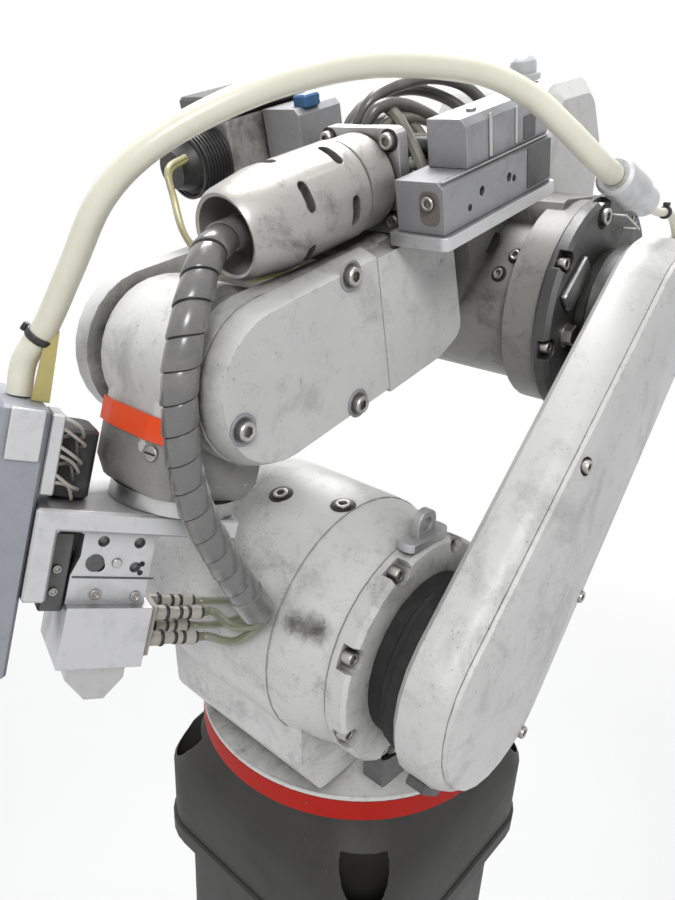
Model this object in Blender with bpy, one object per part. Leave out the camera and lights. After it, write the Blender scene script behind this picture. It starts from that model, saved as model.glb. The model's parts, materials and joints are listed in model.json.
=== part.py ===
# Six-axis industrial robot arm on a steel pedestal, with its dress package and gripper.
# Metres, +Z up, floor at Z = 0. The arm reaches forward along +X and its lower arm
# stands on the +Y side. Each joint axis is an empty, and every moving piece is modelled
# in the frame of the empty that carries it.

import bpy
import bmesh
from math import radians, sin, cos, pi, acos, atan2, hypot
from mathutils import Vector, Matrix

# Clearances
SEAT_GAP = 0.0003          # between pieces that are fastened together
TURN_GAP = 0.0005          # between the two faces of a turning joint
RUN_GAP = 0.005            # between pieces that pass each other

# Pedestal
PEDESTAL_HEIGHT = 0.600
FOOT_SIZE = 0.450
FOOT_THICKNESS = 0.020
FOOT_CORNER = 0.030
ANCHOR_INSET = 0.040
ANCHOR_BORE = 0.018
COLUMN_SIZE = 0.240
COLUMN_WALL = 0.008
COLUMN_CORNER = 0.024
GUSSET_THICKNESS = 0.010
GUSSET_LENGTH = 0.075
GUSSET_HEIGHT = 0.120
TOP_MARGIN = 0.003
TOP_THICKNESS = 0.020

# Fixed base casting
BASE_SIZE = 0.276
BASE_CORNER = 0.046
BASE_FLANGE = 0.022
BASE_WALL_HEIGHT = 0.066
BASE_TOP = 0.128
BASE_TOP_RADIUS = 0.128
BOLT_INSET = 0.030
BOLT_POCKET_RADIUS = 0.021
BEARING_RADIUS = 0.100
CONNECTOR_WIDTH = 0.120
CONNECTOR_HEIGHT = 0.070
CONNECTOR_DEPTH = 0.046

# Swivel and shoulder
SKIRT_RADIUS = 0.144
SKIRT_EDGE = 0.004
BAND_HEIGHT = 0.020
BAND_THICKNESS = 0.012
HEAD_RADIUS = 0.096
HEAD_TOP = 0.303
SHOULDER_X = 0.078
SHOULDER_Z = 0.300
BARREL_RADIUS = 0.097
BARREL_END_RADIUS = 0.082
BARREL_BACK = -0.125
SHOULDER_FACE = 0.122
FLANGE_RADIUS = 0.087
FLANGE_THICKNESS = 0.018
SCALLOP_RADIUS = 0.009
SCALLOPS = 8
END_CAP_THICKNESS = 0.016
FAIRING_WIDTH = 0.150
FAIRING_FRONT = 0.150

# Lower arm
LOWER_ARM_LENGTH = 0.298
LOWER_ARM_LEAN = -40.3     # degrees from upright, at rest
ARM_INNER = 0.1507
ARM_CASTING_DEPTH = 0.0358
ARM_FOOT_RADIUS = 0.076
ARM_HEAD_RADIUS = 0.058
ARM_TAPER = 0.007
COVER_DEPTH = 0.009
COVER_CROWN_INSET = 0.034
SCREW_POCKET_RADIUS = 0.0065
SHOULDER_HUB_RADIUS = 0.066
ELBOW_HUB_RADIUS = 0.050

# Elbow
ELBOW_FACE = 0.131
ELBOW_RING_RADIUS = 0.085
ELBOW_RING_THICKNESS = 0.013
DRUM_RADIUS = 0.080
DRUM_INNER_RADIUS = 0.068
DRUM_STEP = 0.085
DRUM_BACK = -0.062
ROLL_AXIS_OFFSET = 0.055
ROLL_FACE = 0.0735
ROLL_HOUSING_RADIUS = 0.060
MOTOR_REAR = -0.155
MOTOR_FRONT = -0.036
MOTOR_TOP = 0.150
MOTOR_BOTTOM = 0.004
MOTOR_WIDTH = 0.116
LAMP_RADIUS = 0.011

# Forearm
FOREARM_LENGTH = 0.286
FOREARM_PITCH = 14.7       # degrees below level, at rest
FOREARM_HALF_WIDTH = 0.060
FOREARM_FACE = 0.0744
FOREARM_BACK_FACE = -0.0715
FORK_INNER = 0.0465
FORK_RADIUS = 0.051
COVER_RADIUS = 0.045
COVER_LENGTH = 0.091
FOREARM_TOP = 0.0465
FOREARM_BOTTOM = -0.050
ROLL_FLANGE_RADIUS = 0.062
ROLL_FLANGE_THICKNESS = 0.012
FORK_DEPTH = 0.071

# Dress package on the forearm
GLAND_SEAT = FOREARM_LENGTH - 0.136
PLATE_REAR = 0.046
PLATE_FRONT = GLAND_SEAT + 0.028
PLATE_LEFT = 0.114
PLATE_RIGHT = -0.098
PLATE_THICKNESS = 0.008
PLATE_NECK_REAR = GLAND_SEAT - 0.046
PLATE_NECK_SIDE = 0.072
GLAND_Y = 0.038
GLAND_HEIGHT = 0.0245
GLAND_RADIUS = 0.030
GLAND_MOUTH_RADIUS = 0.026
GLAND_LENGTH = 0.118
GLAND_WALL = 0.0045
GLAND_TAPER = 0.030
GLAND_COLLAR = 0.024
GLAND_SLOTS = 5
SLOT_LENGTH = 0.018
SLOT_WIDTH = 0.0065
GLAND_FLOOR = 0.012
GLAND_FOOT = 0.022
GLAND_FLANGE = 0.062
GLAND_FLANGE_THICKNESS = 0.009
BLOCK_WIDTH = 0.034
BLOCK_HEIGHT = 0.030
FAR_BLOCK_HEIGHT = 0.064
JUNCTION_LENGTH = 0.084
JUNCTION_WIDTH = 0.044
JUNCTION_HEIGHT = 0.078
JUNCTION_LID = 0.014
PLUG_RADIUS = 0.0215
PLUG_LENGTH = 0.036
CONDUIT_RADIUS = 0.0108

# Wrist
WRIST_RADIUS = 0.050
WRIST_HALF_WIDTH = 0.0412
WRIST_HUB_RADIUS = 0.032
NECK_WIDTH = 0.082
NECK_DEPTH = 0.088
NECK_CORNER = 0.022
TOOL_FACE = 0.082
WRIST_BEND = 58.6          # degrees, at rest

# Gripper tool
TOOL_TURN = 18.8           # degrees, at rest
ADAPTER_RADIUS = 0.040
ADAPTER_THICKNESS = 0.010
BRACKET_THICKNESS = 0.013
BRACKET_WIDTH = 0.070
BRACKET_REACH = 0.088
BRACKET_TAIL = -0.034
BRACKET_DROP = 0.056
HEAD_PLATE_THICKNESS = 0.026
HEAD_PLATE_WIDTH = 0.066
HEAD_PLATE_RISE = 0.044
HEAD_PLATE_DROP = 0.114
GRIPPER_WIDTH = 0.052
GRIPPER_STEP = 0.020
GRIPPER_LENGTH = 0.090
GRIPPER_REAR = 0.008
GRIPPER_FRONT = 0.060
SLIDE_DEPTH = 0.014
SLIDE_LENGTH = 0.050
JAW_LENGTH = 0.024
FITTING_RADIUS = 0.0050
FITTING_LENGTH = 0.038
TUBE_RADIUS = 0.003
TUBE_BOW = Vector((0.009, 0, -0.007))
HOSE_RADIUS = 0.0085
COUPLING_RADIUS = 0.0125

# Routes of the hoses that the arm carries. Each point is measured from the place it is named after,
# in the axes of the body that carries that place.
# A wrapped conduit runs from the gland past the wrist to the gripper.
CONDUIT_ROUTE = [
    ("gland", -0.0192, 0.0, 0.0), ("gland", -0.0090, 0.0, 0.0004), ("gland", 0.0018, 0.0020, 0.0007),
    ("gland", 0.0199, 0.0090, -0.0013), ("wrist", -0.0411, 0.0550, 0.0595),
    ("wrist", -0.0205, 0.0600, 0.0642),
    ("wrist", 0.0, 0.0600, 0.0630), ("wrist", 0.0148, 0.0600, 0.0600), ("wrist", 0.0367, 0.0600, 0.0530),
    ("wrist", 0.0588, 0.0600, 0.0431), ("wrist", 0.0830, 0.0610, 0.0280), ("wrist", 0.1057, 0.0620, 0.0081),
    ("tool", 0.0446, 0.0555, -0.0324), ("tool", 0.0644, 0.0490, -0.0521)]
CONDUIT_SPLITS = (7, 11)   # points of the route where it passes from one moving body to the next
# A vacuum hose runs from the tool over the arm to a coupling above the lower arm.
HOSE_SEAT_Y = 0.0025
HOSE_ROUTE = [
    ("tool", -0.0855, 0.0101, 0.0949), ("wrist", -0.0389, -0.0050, 0.0933),
    ("wrist", -0.0734, 0.0100, 0.0932),
    ("gland", 0.0265, -0.0130, 0.0506), ("gland", -0.0079, 0.0060, 0.0633),
    ("gland", -0.0468, 0.0240, 0.0696),
    ("gland", -0.0940, 0.0420, 0.0686), ("elbow", 0.1308, 0.1050, 0.1901),
    ("elbow", 0.1082, 0.1260, 0.1739),
    ("head", 0.1813, 0.1450, 0.0085)]
HOSE_SPLITS = (3, 5, 9)
COUPLING_START = (0.1345, 0.1610, 0.0167)      # from the head of the lower arm
COUPLING_RUN = (-0.0509, 0.0040, 0.0209)
HOSE_TAIL_ROUTE = [("head", 0.0443, 0.1668, 0.0604), ("head", 0.0290, 0.1668, 0.0655),
                   ("head", 0.0135, 0.1668, 0.0655)]

ROUND = 36                 # sides of a large round piece
SMALL_ROUND = 20


# Materials

def paint(name, colour, roughness, metallic=0.0):
    """Return a Principled material of one colour."""
    mat = bpy.data.materials.new(name)
    mat.use_nodes = True
    shader = mat.node_tree.nodes["Principled BSDF"]
    shader.inputs["Base Color"].default_value = (*colour, 1.0)
    shader.inputs["Roughness"].default_value = roughness
    shader.inputs["Metallic"].default_value = metallic
    return mat


def make_materials():
    return {
        "white": paint("white_paint", (0.62, 0.62, 0.60), 0.45),
        "grey": paint("grey_paint", (0.10, 0.105, 0.11), 0.5),
        "red": paint("red_paint", (0.55, 0.04, 0.02), 0.45),
        "dark": paint("dark_metal", (0.06, 0.06, 0.065), 0.4, 0.8),
        "aluminium": paint("aluminium", (0.50, 0.50, 0.51), 0.4, 0.9),
        "steel": paint("steel", (0.42, 0.42, 0.43), 0.3, 1.0),
        "black": paint("black_plastic", (0.02, 0.02, 0.022), 0.4),
        "cable": paint("cable_sheath", (0.05, 0.05, 0.052), 0.45),
        "conduit": paint("conduit_wrap", (0.12, 0.12, 0.13), 0.3),
        "hose": paint("cream_hose", (0.62, 0.60, 0.45), 0.4),
        "tube": paint("olive_tube", (0.20, 0.21, 0.13), 0.3),
    }


# Outlines

def arc(cx, cz, radius, start, end, steps):
    """Points on a circle from one angle to another, both included."""
    return [(cx + radius * cos(start + (end - start) * i / steps),
             cz + radius * sin(start + (end - start) * i / steps)) for i in range(steps + 1)]


def rounded(corners, steps=4):
    """Outline of a polygon given as (x, y, radius), each corner an arc of its radius."""
    points = []
    count = len(corners)
    for i, (x, y, radius) in enumerate(corners):
        here = Vector((x, y))
        back = (Vector(corners[i - 1][:2]) - here).normalized()
        ahead = (Vector(corners[(i + 1) % count][:2]) - here).normalized()
        if radius <= 0:
            points.append((x, y))
            continue
        half = acos(max(-1.0, min(1.0, back.dot(ahead)))) / 2
        centre = here + (back + ahead).normalized() * radius / sin(half)
        first = centre + (here + back * radius / (sin(half) / cos(half)) - centre)
        last = centre + (here + ahead * radius / (sin(half) / cos(half)) - centre)
        a0 = atan2(first.y - centre.y, first.x - centre.x)
        a1 = atan2(last.y - centre.y, last.x - centre.x)
        sweep = (a1 - a0 + pi) % (2 * pi) - pi
        points += arc(centre.x, centre.y, radius, a0, a0 + sweep, steps)
    return points


def rectangle(x0, x1, y0, y1, radius, steps=3):
    return rounded([(x0, y0, radius), (x1, y0, radius), (x1, y1, radius), (x0, y1, radius)], steps)


def link_outline(length, foot_radius, head_radius, steps=13):
    """Outline round two circles, one at the origin and one at (0, length)."""
    tilt = acos((foot_radius - head_radius) / length)
    head = arc(0, length, head_radius, pi / 2 - tilt, pi / 2 + tilt, steps)
    foot = arc(0, 0, foot_radius, pi / 2 + tilt, 5 * pi / 2 - tilt, steps)
    return head + foot


# Mesh tools

PLANES = {
    "XY": lambda a, b, h: Vector((a, b, h)),
    "XZ": lambda a, b, h: Vector((a, h, b)),
    "YZ": lambda a, b, h: Vector((h, a, b)),
}


def loft(sections, plane):
    """Closed solid through outlines of equal count, given as (outline, height) pairs."""
    place = PLANES[plane]
    bm = bmesh.new()
    rings = [[bm.verts.new(place(a, b, height)) for a, b in outline] for outline, height in sections]
    count = len(rings[0])
    for low, high in zip(rings, rings[1:]):
        for i in range(count):
            j = (i + 1) % count
            bm.faces.new((low[i], low[j], high[j], high[i]))
    bm.faces.new(rings[0])
    bm.faces.new(rings[-1])
    bmesh.ops.recalc_face_normals(bm, faces=bm.faces)
    return bm


def prism(outline, low, high, plane):
    return loft([(outline, low), (outline, high)], plane)


def turned(profile, axis, centre=(0, 0, 0), sides=ROUND):
    """Solid turned from a profile of (radius, height) points that starts and ends at radius 0."""
    along = {"X": Vector((1, 0, 0)), "Y": Vector((0, 1, 0)), "Z": Vector((0, 0, 1))}[axis]
    out = {"X": Vector((0, 0, 1)), "Y": Vector((0, 0, 1)), "Z": Vector((1, 0, 0))}[axis]
    centre = Vector(centre)
    bm = bmesh.new()
    line = [bm.verts.new(centre + out * radius + along * height) for radius, height in profile]
    edges = [bm.edges.new(pair) for pair in zip(line, line[1:])]
    bmesh.ops.spin(bm, geom=line + edges, cent=centre, axis=along, angle=2 * pi,
                   steps=sides, use_merge=True, use_duplicate=False)
    bmesh.ops.remove_doubles(bm, verts=bm.verts, dist=0.00001)
    bmesh.ops.recalc_face_normals(bm, faces=bm.faces)
    return bm


def pin(radius, low, high, axis, centre=(0, 0, 0), sides=SMALL_ROUND):
    return turned([(0, low), (radius, low), (radius, high), (0, high)], axis, centre, sides)


def box(x0, x1, y0, y1, z0, z1):
    return prism([(x0, y0), (x1, y0), (x1, y1), (x0, y1)], z0, z1, "XY")


def add(name, bm, parent, material, smooth=True):
    """Make an object of a mesh, in the frame of its parent."""
    mesh = bpy.data.meshes.new(name)
    bm.to_mesh(mesh)
    bm.free()
    obj = bpy.data.objects.new(name, mesh)
    bpy.context.scene.collection.objects.link(obj)
    obj.parent = parent
    if material:
        mesh.materials.append(material)
    if smooth:
        mesh.shade_smooth()
        mesh.set_sharp_from_angle(angle=radians(35))
    return obj


def combine(obj, operation, shapes):
    """Fuse shapes with an object, or cut them out of it, by Boolean modifiers."""
    for shape in shapes:
        tool = add(obj.name + "_" + operation.lower(), shape, obj.parent, None, smooth=False)
        tool.hide_render = True
        tool.display_type = "WIRE"
        step = obj.modifiers.new(operation.title(), "BOOLEAN")
        step.operation = operation
        step.solver = "EXACT"
        step.object = tool
    return obj


def fuse(obj, *shapes):
    return combine(obj, "UNION", shapes)


def cut(obj, *shapes):
    return combine(obj, "DIFFERENCE", shapes)


def soften(obj, width, segments=2, angle=40):
    """Round the sharp edges of a piece."""
    step = obj.modifiers.new("Bevel", "BEVEL")
    step.width = width
    step.segments = segments
    step.limit_method = "ANGLE"
    step.angle_limit = radians(angle)
    return obj


def axis_empty(name, parent, location, pitch=0.0, turn=0.0):
    """Empty on a joint axis; pitch turns it about its parent's Y and turn about its own X, in degrees."""
    empty = bpy.data.objects.new(name, None)
    bpy.context.scene.collection.objects.link(empty)
    empty.parent = parent
    empty.location = location
    empty.rotation_euler = (radians(turn), radians(pitch), 0)
    return empty


def smooth_route(points, steps):
    """Points of a Catmull-Rom curve through a route, as even as the route's own points."""
    pts = [Vector(p) for p in points]
    pts = [2 * pts[0] - pts[1]] + pts + [2 * pts[-1] - pts[-2]]
    out = []
    for a, b, c, d in zip(pts, pts[1:], pts[2:], pts[3:]):
        for i in range(steps):
            t = i / steps
            out.append(0.5 * (2 * b + (c - a) * t + (2 * a - 5 * b + 4 * c - d) * t * t
                              + (3 * b - a - 3 * c + d) * t ** 3))
    out.append(pts[-2])
    return out


def tube(name, route, radius, parent, material, resolution=2):
    """Round solid along a route in the frame of its parent."""
    curve = bpy.data.curves.new(name, "CURVE")
    curve.dimensions = "3D"
    curve.bevel_depth = radius
    curve.bevel_resolution = resolution
    curve.use_fill_caps = True
    spline = curve.splines.new("POLY")
    spline.points.add(len(route) - 1)
    for point, place in zip(spline.points, route):
        point.co = (*place, 1.0)
    curve.materials.append(material)
    obj = bpy.data.objects.new(name, curve)
    bpy.context.scene.collection.objects.link(obj)
    obj.parent = parent
    return obj


def trimmed(route, first, last):
    """Part of a route whose ends are drawn back by half a gap, square to the route."""
    points = list(route[first:last + 1])
    for index, end in ((first, 0), (last, -1)):
        along = (route[min(index + 1, len(route) - 1)] - route[max(index - 1, 0)]).normalized()
        inward = along if end == 0 else -along
        pair = [route[index] + inward * SEAT_GAP, route[index] + inward * 0.002]
        points[end:end + 1 or None] = pair if end == 0 else pair[::-1]
    return points


def hose_pieces(route, splits, names, parents, radius, material, steps=3):
    """Lengths of one hose, each in the frame of the body that it moves with."""
    whole = smooth_route(route, steps)
    marks = [0] + [split * steps for split in splits] + [len(whole) - 1]
    for name, parent, first, last in zip(names, parents, marks, marks[1:]):
        into = parent.matrix_world.inverted()
        tube(name, [into @ point for point in trimmed(whole, first, last)], radius, parent, material)


def route_places(lower, elbow, roll, wrist, tool):
    """Bodies and points that the routes are measured from, by the names in the routes."""
    return {"head": (lower, Vector((0, 0, LOWER_ARM_LENGTH))), "elbow": (elbow, Vector()),
            "gland": (roll, Vector((gland_mouth(), GLAND_Y, gland_axis()))), "wrist": (wrist, Vector()),
            "tool": (tool, Vector())}


def laid(route, places):
    """Points of a route in the model's own frame."""
    return [places[name][0].matrix_world @ (places[name][1] + Vector(offset)) for name, *offset in route]


# Pedestal

def pedestal_foot(mats):
    half = FOOT_SIZE / 2
    foot = add("pedestal_foot", prism(rectangle(-half, half, -half, half, FOOT_CORNER),
                                      0, FOOT_THICKNESS, "XY"), None, mats["grey"])
    place = half - ANCHOR_INSET
    cut(foot, *[pin(ANCHOR_BORE / 2, -0.01, FOOT_THICKNESS + 0.01, "Z", (x, y, 0), 16)
                for x in (-place, place) for y in (-place, place)])


def gusset(turn, offset):
    """Triangular plate welded between column and foot, on one side of the column."""
    inner = COLUMN_SIZE / 2 - COLUMN_WALL / 2
    low = FOOT_THICKNESS + SEAT_GAP
    outline = [(inner, low), (COLUMN_SIZE / 2 + GUSSET_LENGTH, low),
               (COLUMN_SIZE / 2 + GUSSET_LENGTH, low + 0.012), (inner, low + GUSSET_HEIGHT)]
    bm = prism(outline, offset - GUSSET_THICKNESS / 2, offset + GUSSET_THICKNESS / 2, "XZ")
    bmesh.ops.rotate(bm, verts=bm.verts, cent=(0, 0, 0), matrix=Matrix.Rotation(turn, 3, "Z"))
    return bm


def pedestal_column(mats):
    half = COLUMN_SIZE / 2
    inner = half - COLUMN_WALL
    low = FOOT_THICKNESS + SEAT_GAP
    high = PEDESTAL_HEIGHT - TOP_THICKNESS - SEAT_GAP
    column = add("pedestal_column", prism(rectangle(-half, half, -half, half, COLUMN_CORNER),
                                          low, high, "XY"), None, mats["grey"])
    spread = COLUMN_SIZE / 2 - COLUMN_CORNER - GUSSET_THICKNESS
    fuse(column, *[gusset(side * pi / 2, offset) for side in range(4) for offset in (-spread, spread)])
    cut(column, prism(rectangle(-inner, inner, -inner, inner, COLUMN_CORNER - COLUMN_WALL),
                      low - 0.01, high + 0.01, "XY"))


def pedestal_top(mats):
    half = BASE_SIZE / 2 + TOP_MARGIN
    plate = add("pedestal_top", prism(rectangle(-half, half, -half, half, BASE_CORNER + TOP_MARGIN, 7),
                                      PEDESTAL_HEIGHT - TOP_THICKNESS, PEDESTAL_HEIGHT, "XY"),
                None, mats["grey"])
    soften(plate, 0.002, 1)


def base_casting(mats, base):
    """Square foot that runs up into a round bearing seat, with a pocket for each corner bolt."""
    half = BASE_SIZE / 2
    square = rectangle(-half, half, -half, half, BASE_CORNER, 7)

    def blend(share, radius):
        points = []
        for x, y in square:
            turn = atan2(y, x)
            points.append((x * (1 - share) + radius * cos(turn) * share,
                           y * (1 - share) + radius * sin(turn) * share))
        return points

    sections = [(blend(0, 0), SEAT_GAP), (blend(0, 0), BASE_WALL_HEIGHT),
                (blend(0.25, BASE_TOP_RADIUS), BASE_WALL_HEIGHT + (BASE_TOP - BASE_WALL_HEIGHT) * 0.35),
                (blend(0.75, BASE_TOP_RADIUS), BASE_WALL_HEIGHT + (BASE_TOP - BASE_WALL_HEIGHT) * 0.72),
                (blend(1.0, BASE_TOP_RADIUS), BASE_TOP)]
    casting = add("base_casting", loft(sections, "XY"), base, mats["grey"])
    fuse(casting, pin(BEARING_RADIUS, BASE_TOP - 0.01, BASE_TOP + RUN_GAP - TURN_GAP, "Z", sides=ROUND))
    place = half - BOLT_INSET
    cut(casting, *[pin(BOLT_POCKET_RADIUS, BASE_FLANGE, BASE_TOP * 0.80, "Z", (x, y, 0), SMALL_ROUND)
                   for x in (-place, place) for y in (-place, place)])


def base_connector_box(mats, base):
    """Cable connector box on the rear face of the base."""
    rear = -BASE_SIZE / 2 - SEAT_GAP
    half = CONNECTOR_WIDTH / 2
    low = BASE_FLANGE * 0.5
    face = add("base_connector_box", prism(rectangle(-half, half, low, low + CONNECTOR_HEIGHT * 0.5, 0.006),
                                           rear - CONNECTOR_DEPTH, rear, "YZ"), base, mats["grey"])
    soften(face, 0.002, 1)
    fuse(face, *[pin(0.012, rear - CONNECTOR_DEPTH - 0.014, rear - CONNECTOR_DEPTH + 0.004, "X",
                     (0, y, low + CONNECTOR_HEIGHT * 0.25)) for y in (-half * 0.5, half * 0.5)])


# Swivel

def swivel_casting(mats, swivel):
    """Turning body: domed skirt and upright head in one casting with the shoulder barrel."""
    low = BASE_TOP + RUN_GAP
    lip = low + 0.002 + BAND_HEIGHT + SEAT_GAP
    neck = SKIRT_RADIUS - BAND_THICKNESS - SEAT_GAP
    profile = [(0, low), (neck, low), (neck, lip), (SKIRT_RADIUS, lip), (SKIRT_RADIUS, lip + SKIRT_EDGE)]
    rise = HEAD_RADIUS * 0.40
    for i in range(1, 5):
        turn = i / 4 * pi / 2
        profile.append((SKIRT_RADIUS - (SKIRT_RADIUS - HEAD_RADIUS) * sin(turn),
                        lip + SKIRT_EDGE + rise * (1 - cos(turn))))
    shoulder = 0.018
    for i in range(0, 4):
        turn = i / 3 * pi / 2
        profile.append((HEAD_RADIUS - shoulder * (1 - cos(turn)), HEAD_TOP - shoulder * (1 - sin(turn))))
    profile.append((0, HEAD_TOP))
    casting = add("swivel_casting", turned(profile, "Z"), swivel, mats["white"])

    front = SHOULDER_FACE - FLANGE_THICKNESS - SEAT_GAP
    barrel = [(0, BARREL_BACK), (BARREL_END_RADIUS - 0.008, BARREL_BACK),
              (BARREL_END_RADIUS, BARREL_BACK + 0.008), (BARREL_RADIUS, BARREL_BACK * 0.35),
              (BARREL_RADIUS, front * 0.55), (BARREL_RADIUS - 0.006, front * 0.82),
              (FLANGE_RADIUS - 0.002, front), (0, front)]
    half = FAIRING_WIDTH / 2
    fairing = rounded([(-HEAD_RADIUS * 0.5, lip + 0.01, 0), (FAIRING_FRONT * 0.86, lip + 0.014, 0.010),
                       (FAIRING_FRONT, lip + 0.045, 0.020), (FAIRING_FRONT + 0.006, SHOULDER_Z, 0.010),
                       (-HEAD_RADIUS * 0.5, SHOULDER_Z, 0)])
    fairing_mesh = prism(fairing, -half, half, "XZ")
    fuse(casting, turned(barrel, "Y", (SHOULDER_X, 0, SHOULDER_Z)), fairing_mesh)


def swivel_band(mats, swivel):
    """Painted ring under the lip of the skirt."""
    low = BASE_TOP + RUN_GAP + 0.002
    inner = SKIRT_RADIUS - BAND_THICKNESS
    ring = add("swivel_band", pin(SKIRT_RADIUS, low, low + BAND_HEIGHT, "Z", sides=ROUND), swivel,
               mats["red"])
    cut(ring, pin(inner, low - 0.01, low + BAND_HEIGHT + 0.01, "Z", sides=ROUND))


def shoulder_flange(mats, swivel):
    """Bolted ring at the mouth of the barrel, with a pocket for each screw."""
    centre = (SHOULDER_X, 0, SHOULDER_Z)
    low = SHOULDER_FACE - FLANGE_THICKNESS
    profile = [(0, low), (FLANGE_RADIUS - 0.002, low), (FLANGE_RADIUS, low + 0.002),
               (FLANGE_RADIUS, SHOULDER_FACE - 0.003), (FLANGE_RADIUS - 0.003, SHOULDER_FACE),
               (0, SHOULDER_FACE)]
    flange = add("shoulder_flange", turned(profile, "Y", centre), swivel, mats["white"])
    pockets = []
    for i in range(SCALLOPS):
        turn = 2 * pi * (i + 0.5) / SCALLOPS
        place = Vector(centre) + Vector((cos(turn), 0, sin(turn))) * (FLANGE_RADIUS - SCALLOP_RADIUS * 0.3)
        pockets.append(pin(SCALLOP_RADIUS, low + 0.007, SHOULDER_FACE + 0.01, "Y", place, 12))
    cut(flange, *pockets)


def shoulder_end_cap(mats, swivel):
    centre = (SHOULDER_X, 0, SHOULDER_Z)
    high = BARREL_BACK - SEAT_GAP
    radius = BARREL_END_RADIUS - 0.010
    cap = add("shoulder_end_cap", turned([(0, high - END_CAP_THICKNESS),
                                          (radius - 0.006, high - END_CAP_THICKNESS),
                                          (radius, high - END_CAP_THICKNESS + 0.006), (radius, high),
                                          (0, high)],
                                         "Y", centre), swivel, mats["white"])
    return cap


def shoulder_clip(mats, swivel):
    """Bright eye bracket on top of the shoulder flange."""
    seat = SHOULDER_Z + FLANGE_RADIUS + SEAT_GAP
    outline = rectangle(SHOULDER_X - 0.022, SHOULDER_X + 0.022,
                        SHOULDER_FACE - FLANGE_THICKNESS + 0.001, SHOULDER_FACE - 0.001, 0.006)
    clip = add("shoulder_clip", prism(outline, seat, seat + 0.006, "XY"), swivel, mats["steel"])
    ear = rounded([(-0.010, 0, 0), (0.010, 0, 0), (0.010, 0.020, 0.009), (-0.010, 0.020, 0.009)])
    ear = [(x + SHOULDER_X, z + seat + 0.004) for x, z in ear]
    y = SHOULDER_FACE - FLANGE_THICKNESS / 2
    fuse(clip, prism(ear, y - 0.003, y + 0.003, "XZ"))
    cut(clip, pin(0.005, y - 0.01, y + 0.01, "Y", (SHOULDER_X, 0, seat + 0.014), 16))


def shoulder_stop(mats, swivel):
    """Block under the shoulder flange that the arm's own stop would meet."""
    top = SHOULDER_Z - FLANGE_RADIUS
    outline = rounded([(SHOULDER_X - 0.004, top - 0.024, 0.004), (SHOULDER_X + 0.036, top - 0.020, 0.004),
                       (SHOULDER_X + 0.036, top + 0.016, 0), (SHOULDER_X - 0.004, top + 0.010, 0)], 2)
    low = SHOULDER_FACE - FLANGE_THICKNESS
    stop = add("shoulder_stop", prism(outline, low, SHOULDER_FACE, "XZ"), swivel, mats["dark"])
    cut(stop, pin(FLANGE_RADIUS + SEAT_GAP, low - 0.01, SHOULDER_FACE + 0.01, "Y",
                  (SHOULDER_X, 0, SHOULDER_Z),
                  sides=ROUND))


# Lower arm

def shoulder_hub(mats, lower):
    low = SHOULDER_FACE + TURN_GAP
    high = ARM_INNER - SEAT_GAP
    profile = [(0, low), (SHOULDER_HUB_RADIUS - 0.004, low), (SHOULDER_HUB_RADIUS - 0.004, low + 0.010),
               (SHOULDER_HUB_RADIUS, low + 0.013), (SHOULDER_HUB_RADIUS, high), (0, high)]
    add("shoulder_hub", turned(profile, "Y"), lower, mats["white"])


def elbow_hub(mats, lower):
    low = ELBOW_FACE + TURN_GAP
    high = ARM_INNER - SEAT_GAP
    profile = [(0, low), (ELBOW_HUB_RADIUS - 0.004, low), (ELBOW_HUB_RADIUS - 0.004, low + 0.007),
               (ELBOW_HUB_RADIUS, low + 0.009), (ELBOW_HUB_RADIUS, high), (0, high)]
    add("elbow_hub", turned(profile, "Y", (0, 0, LOWER_ARM_LENGTH)), lower, mats["dark"])


def arm_section(inset):
    return link_outline(LOWER_ARM_LENGTH, ARM_FOOT_RADIUS - inset, ARM_HEAD_RADIUS - inset)


def lower_arm_casting(mats, lower):
    """Tapered link from shoulder to elbow."""
    outer = ARM_INNER + ARM_CASTING_DEPTH
    sections = [(arm_section(0.005), ARM_INNER), (arm_section(0.0), ARM_INNER + 0.005),
                (arm_section(0.0), outer - 0.012), (arm_section(ARM_TAPER * 0.35), outer - 0.005),
                (arm_section(ARM_TAPER), outer)]
    add("lower_arm_casting", loft(sections, "XZ"), lower, mats["white"])


def lower_arm_cover(mats, lower):
    """Crowned cover screwed on the outer side of the link."""
    low = ARM_INNER + ARM_CASTING_DEPTH + SEAT_GAP
    high = low + COVER_DEPTH
    sections = [(arm_section(ARM_TAPER), low), (arm_section(ARM_TAPER + 0.001), low + 0.003),
                (arm_section(ARM_TAPER + COVER_CROWN_INSET * 0.35), high - 0.0025),
                (arm_section(ARM_TAPER + COVER_CROWN_INSET), high)]
    cover = add("lower_arm_cover", loft(sections, "XZ"), lower, mats["white"])
    pockets = []
    for share, side in ((-0.06, -1), (0.52, 1), (0.94, -1), (0.30, -1)):
        radius = ARM_FOOT_RADIUS + (ARM_HEAD_RADIUS - ARM_FOOT_RADIUS) * share - ARM_TAPER
        place = (side * (radius - SCREW_POCKET_RADIUS - 0.004), 0, LOWER_ARM_LENGTH * share)
        pockets.append(pin(SCREW_POCKET_RADIUS, low + 0.002, high + 0.01, "Y", place, 12))
    cut(cover, *pockets)


def lower_arm_stop(mats, lower):
    """Small stop block under the lower end of the link."""
    seat = -ARM_FOOT_RADIUS * 0.94
    outline = rounded([(-0.014, seat - 0.010, 0.003), (0.014, seat - 0.010, 0.003),
                       (0.014, seat + 0.012, 0), (-0.014, seat + 0.012, 0)], 2)
    low = ARM_INNER + 0.008
    stop = add("lower_arm_stop", prism(outline, low, low + 0.014, "XZ"), lower, mats["dark"])
    body = loft([(arm_section(-SEAT_GAP), low - 0.01), (arm_section(-SEAT_GAP), low + 0.03)], "XZ")
    cut(stop, body)


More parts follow.
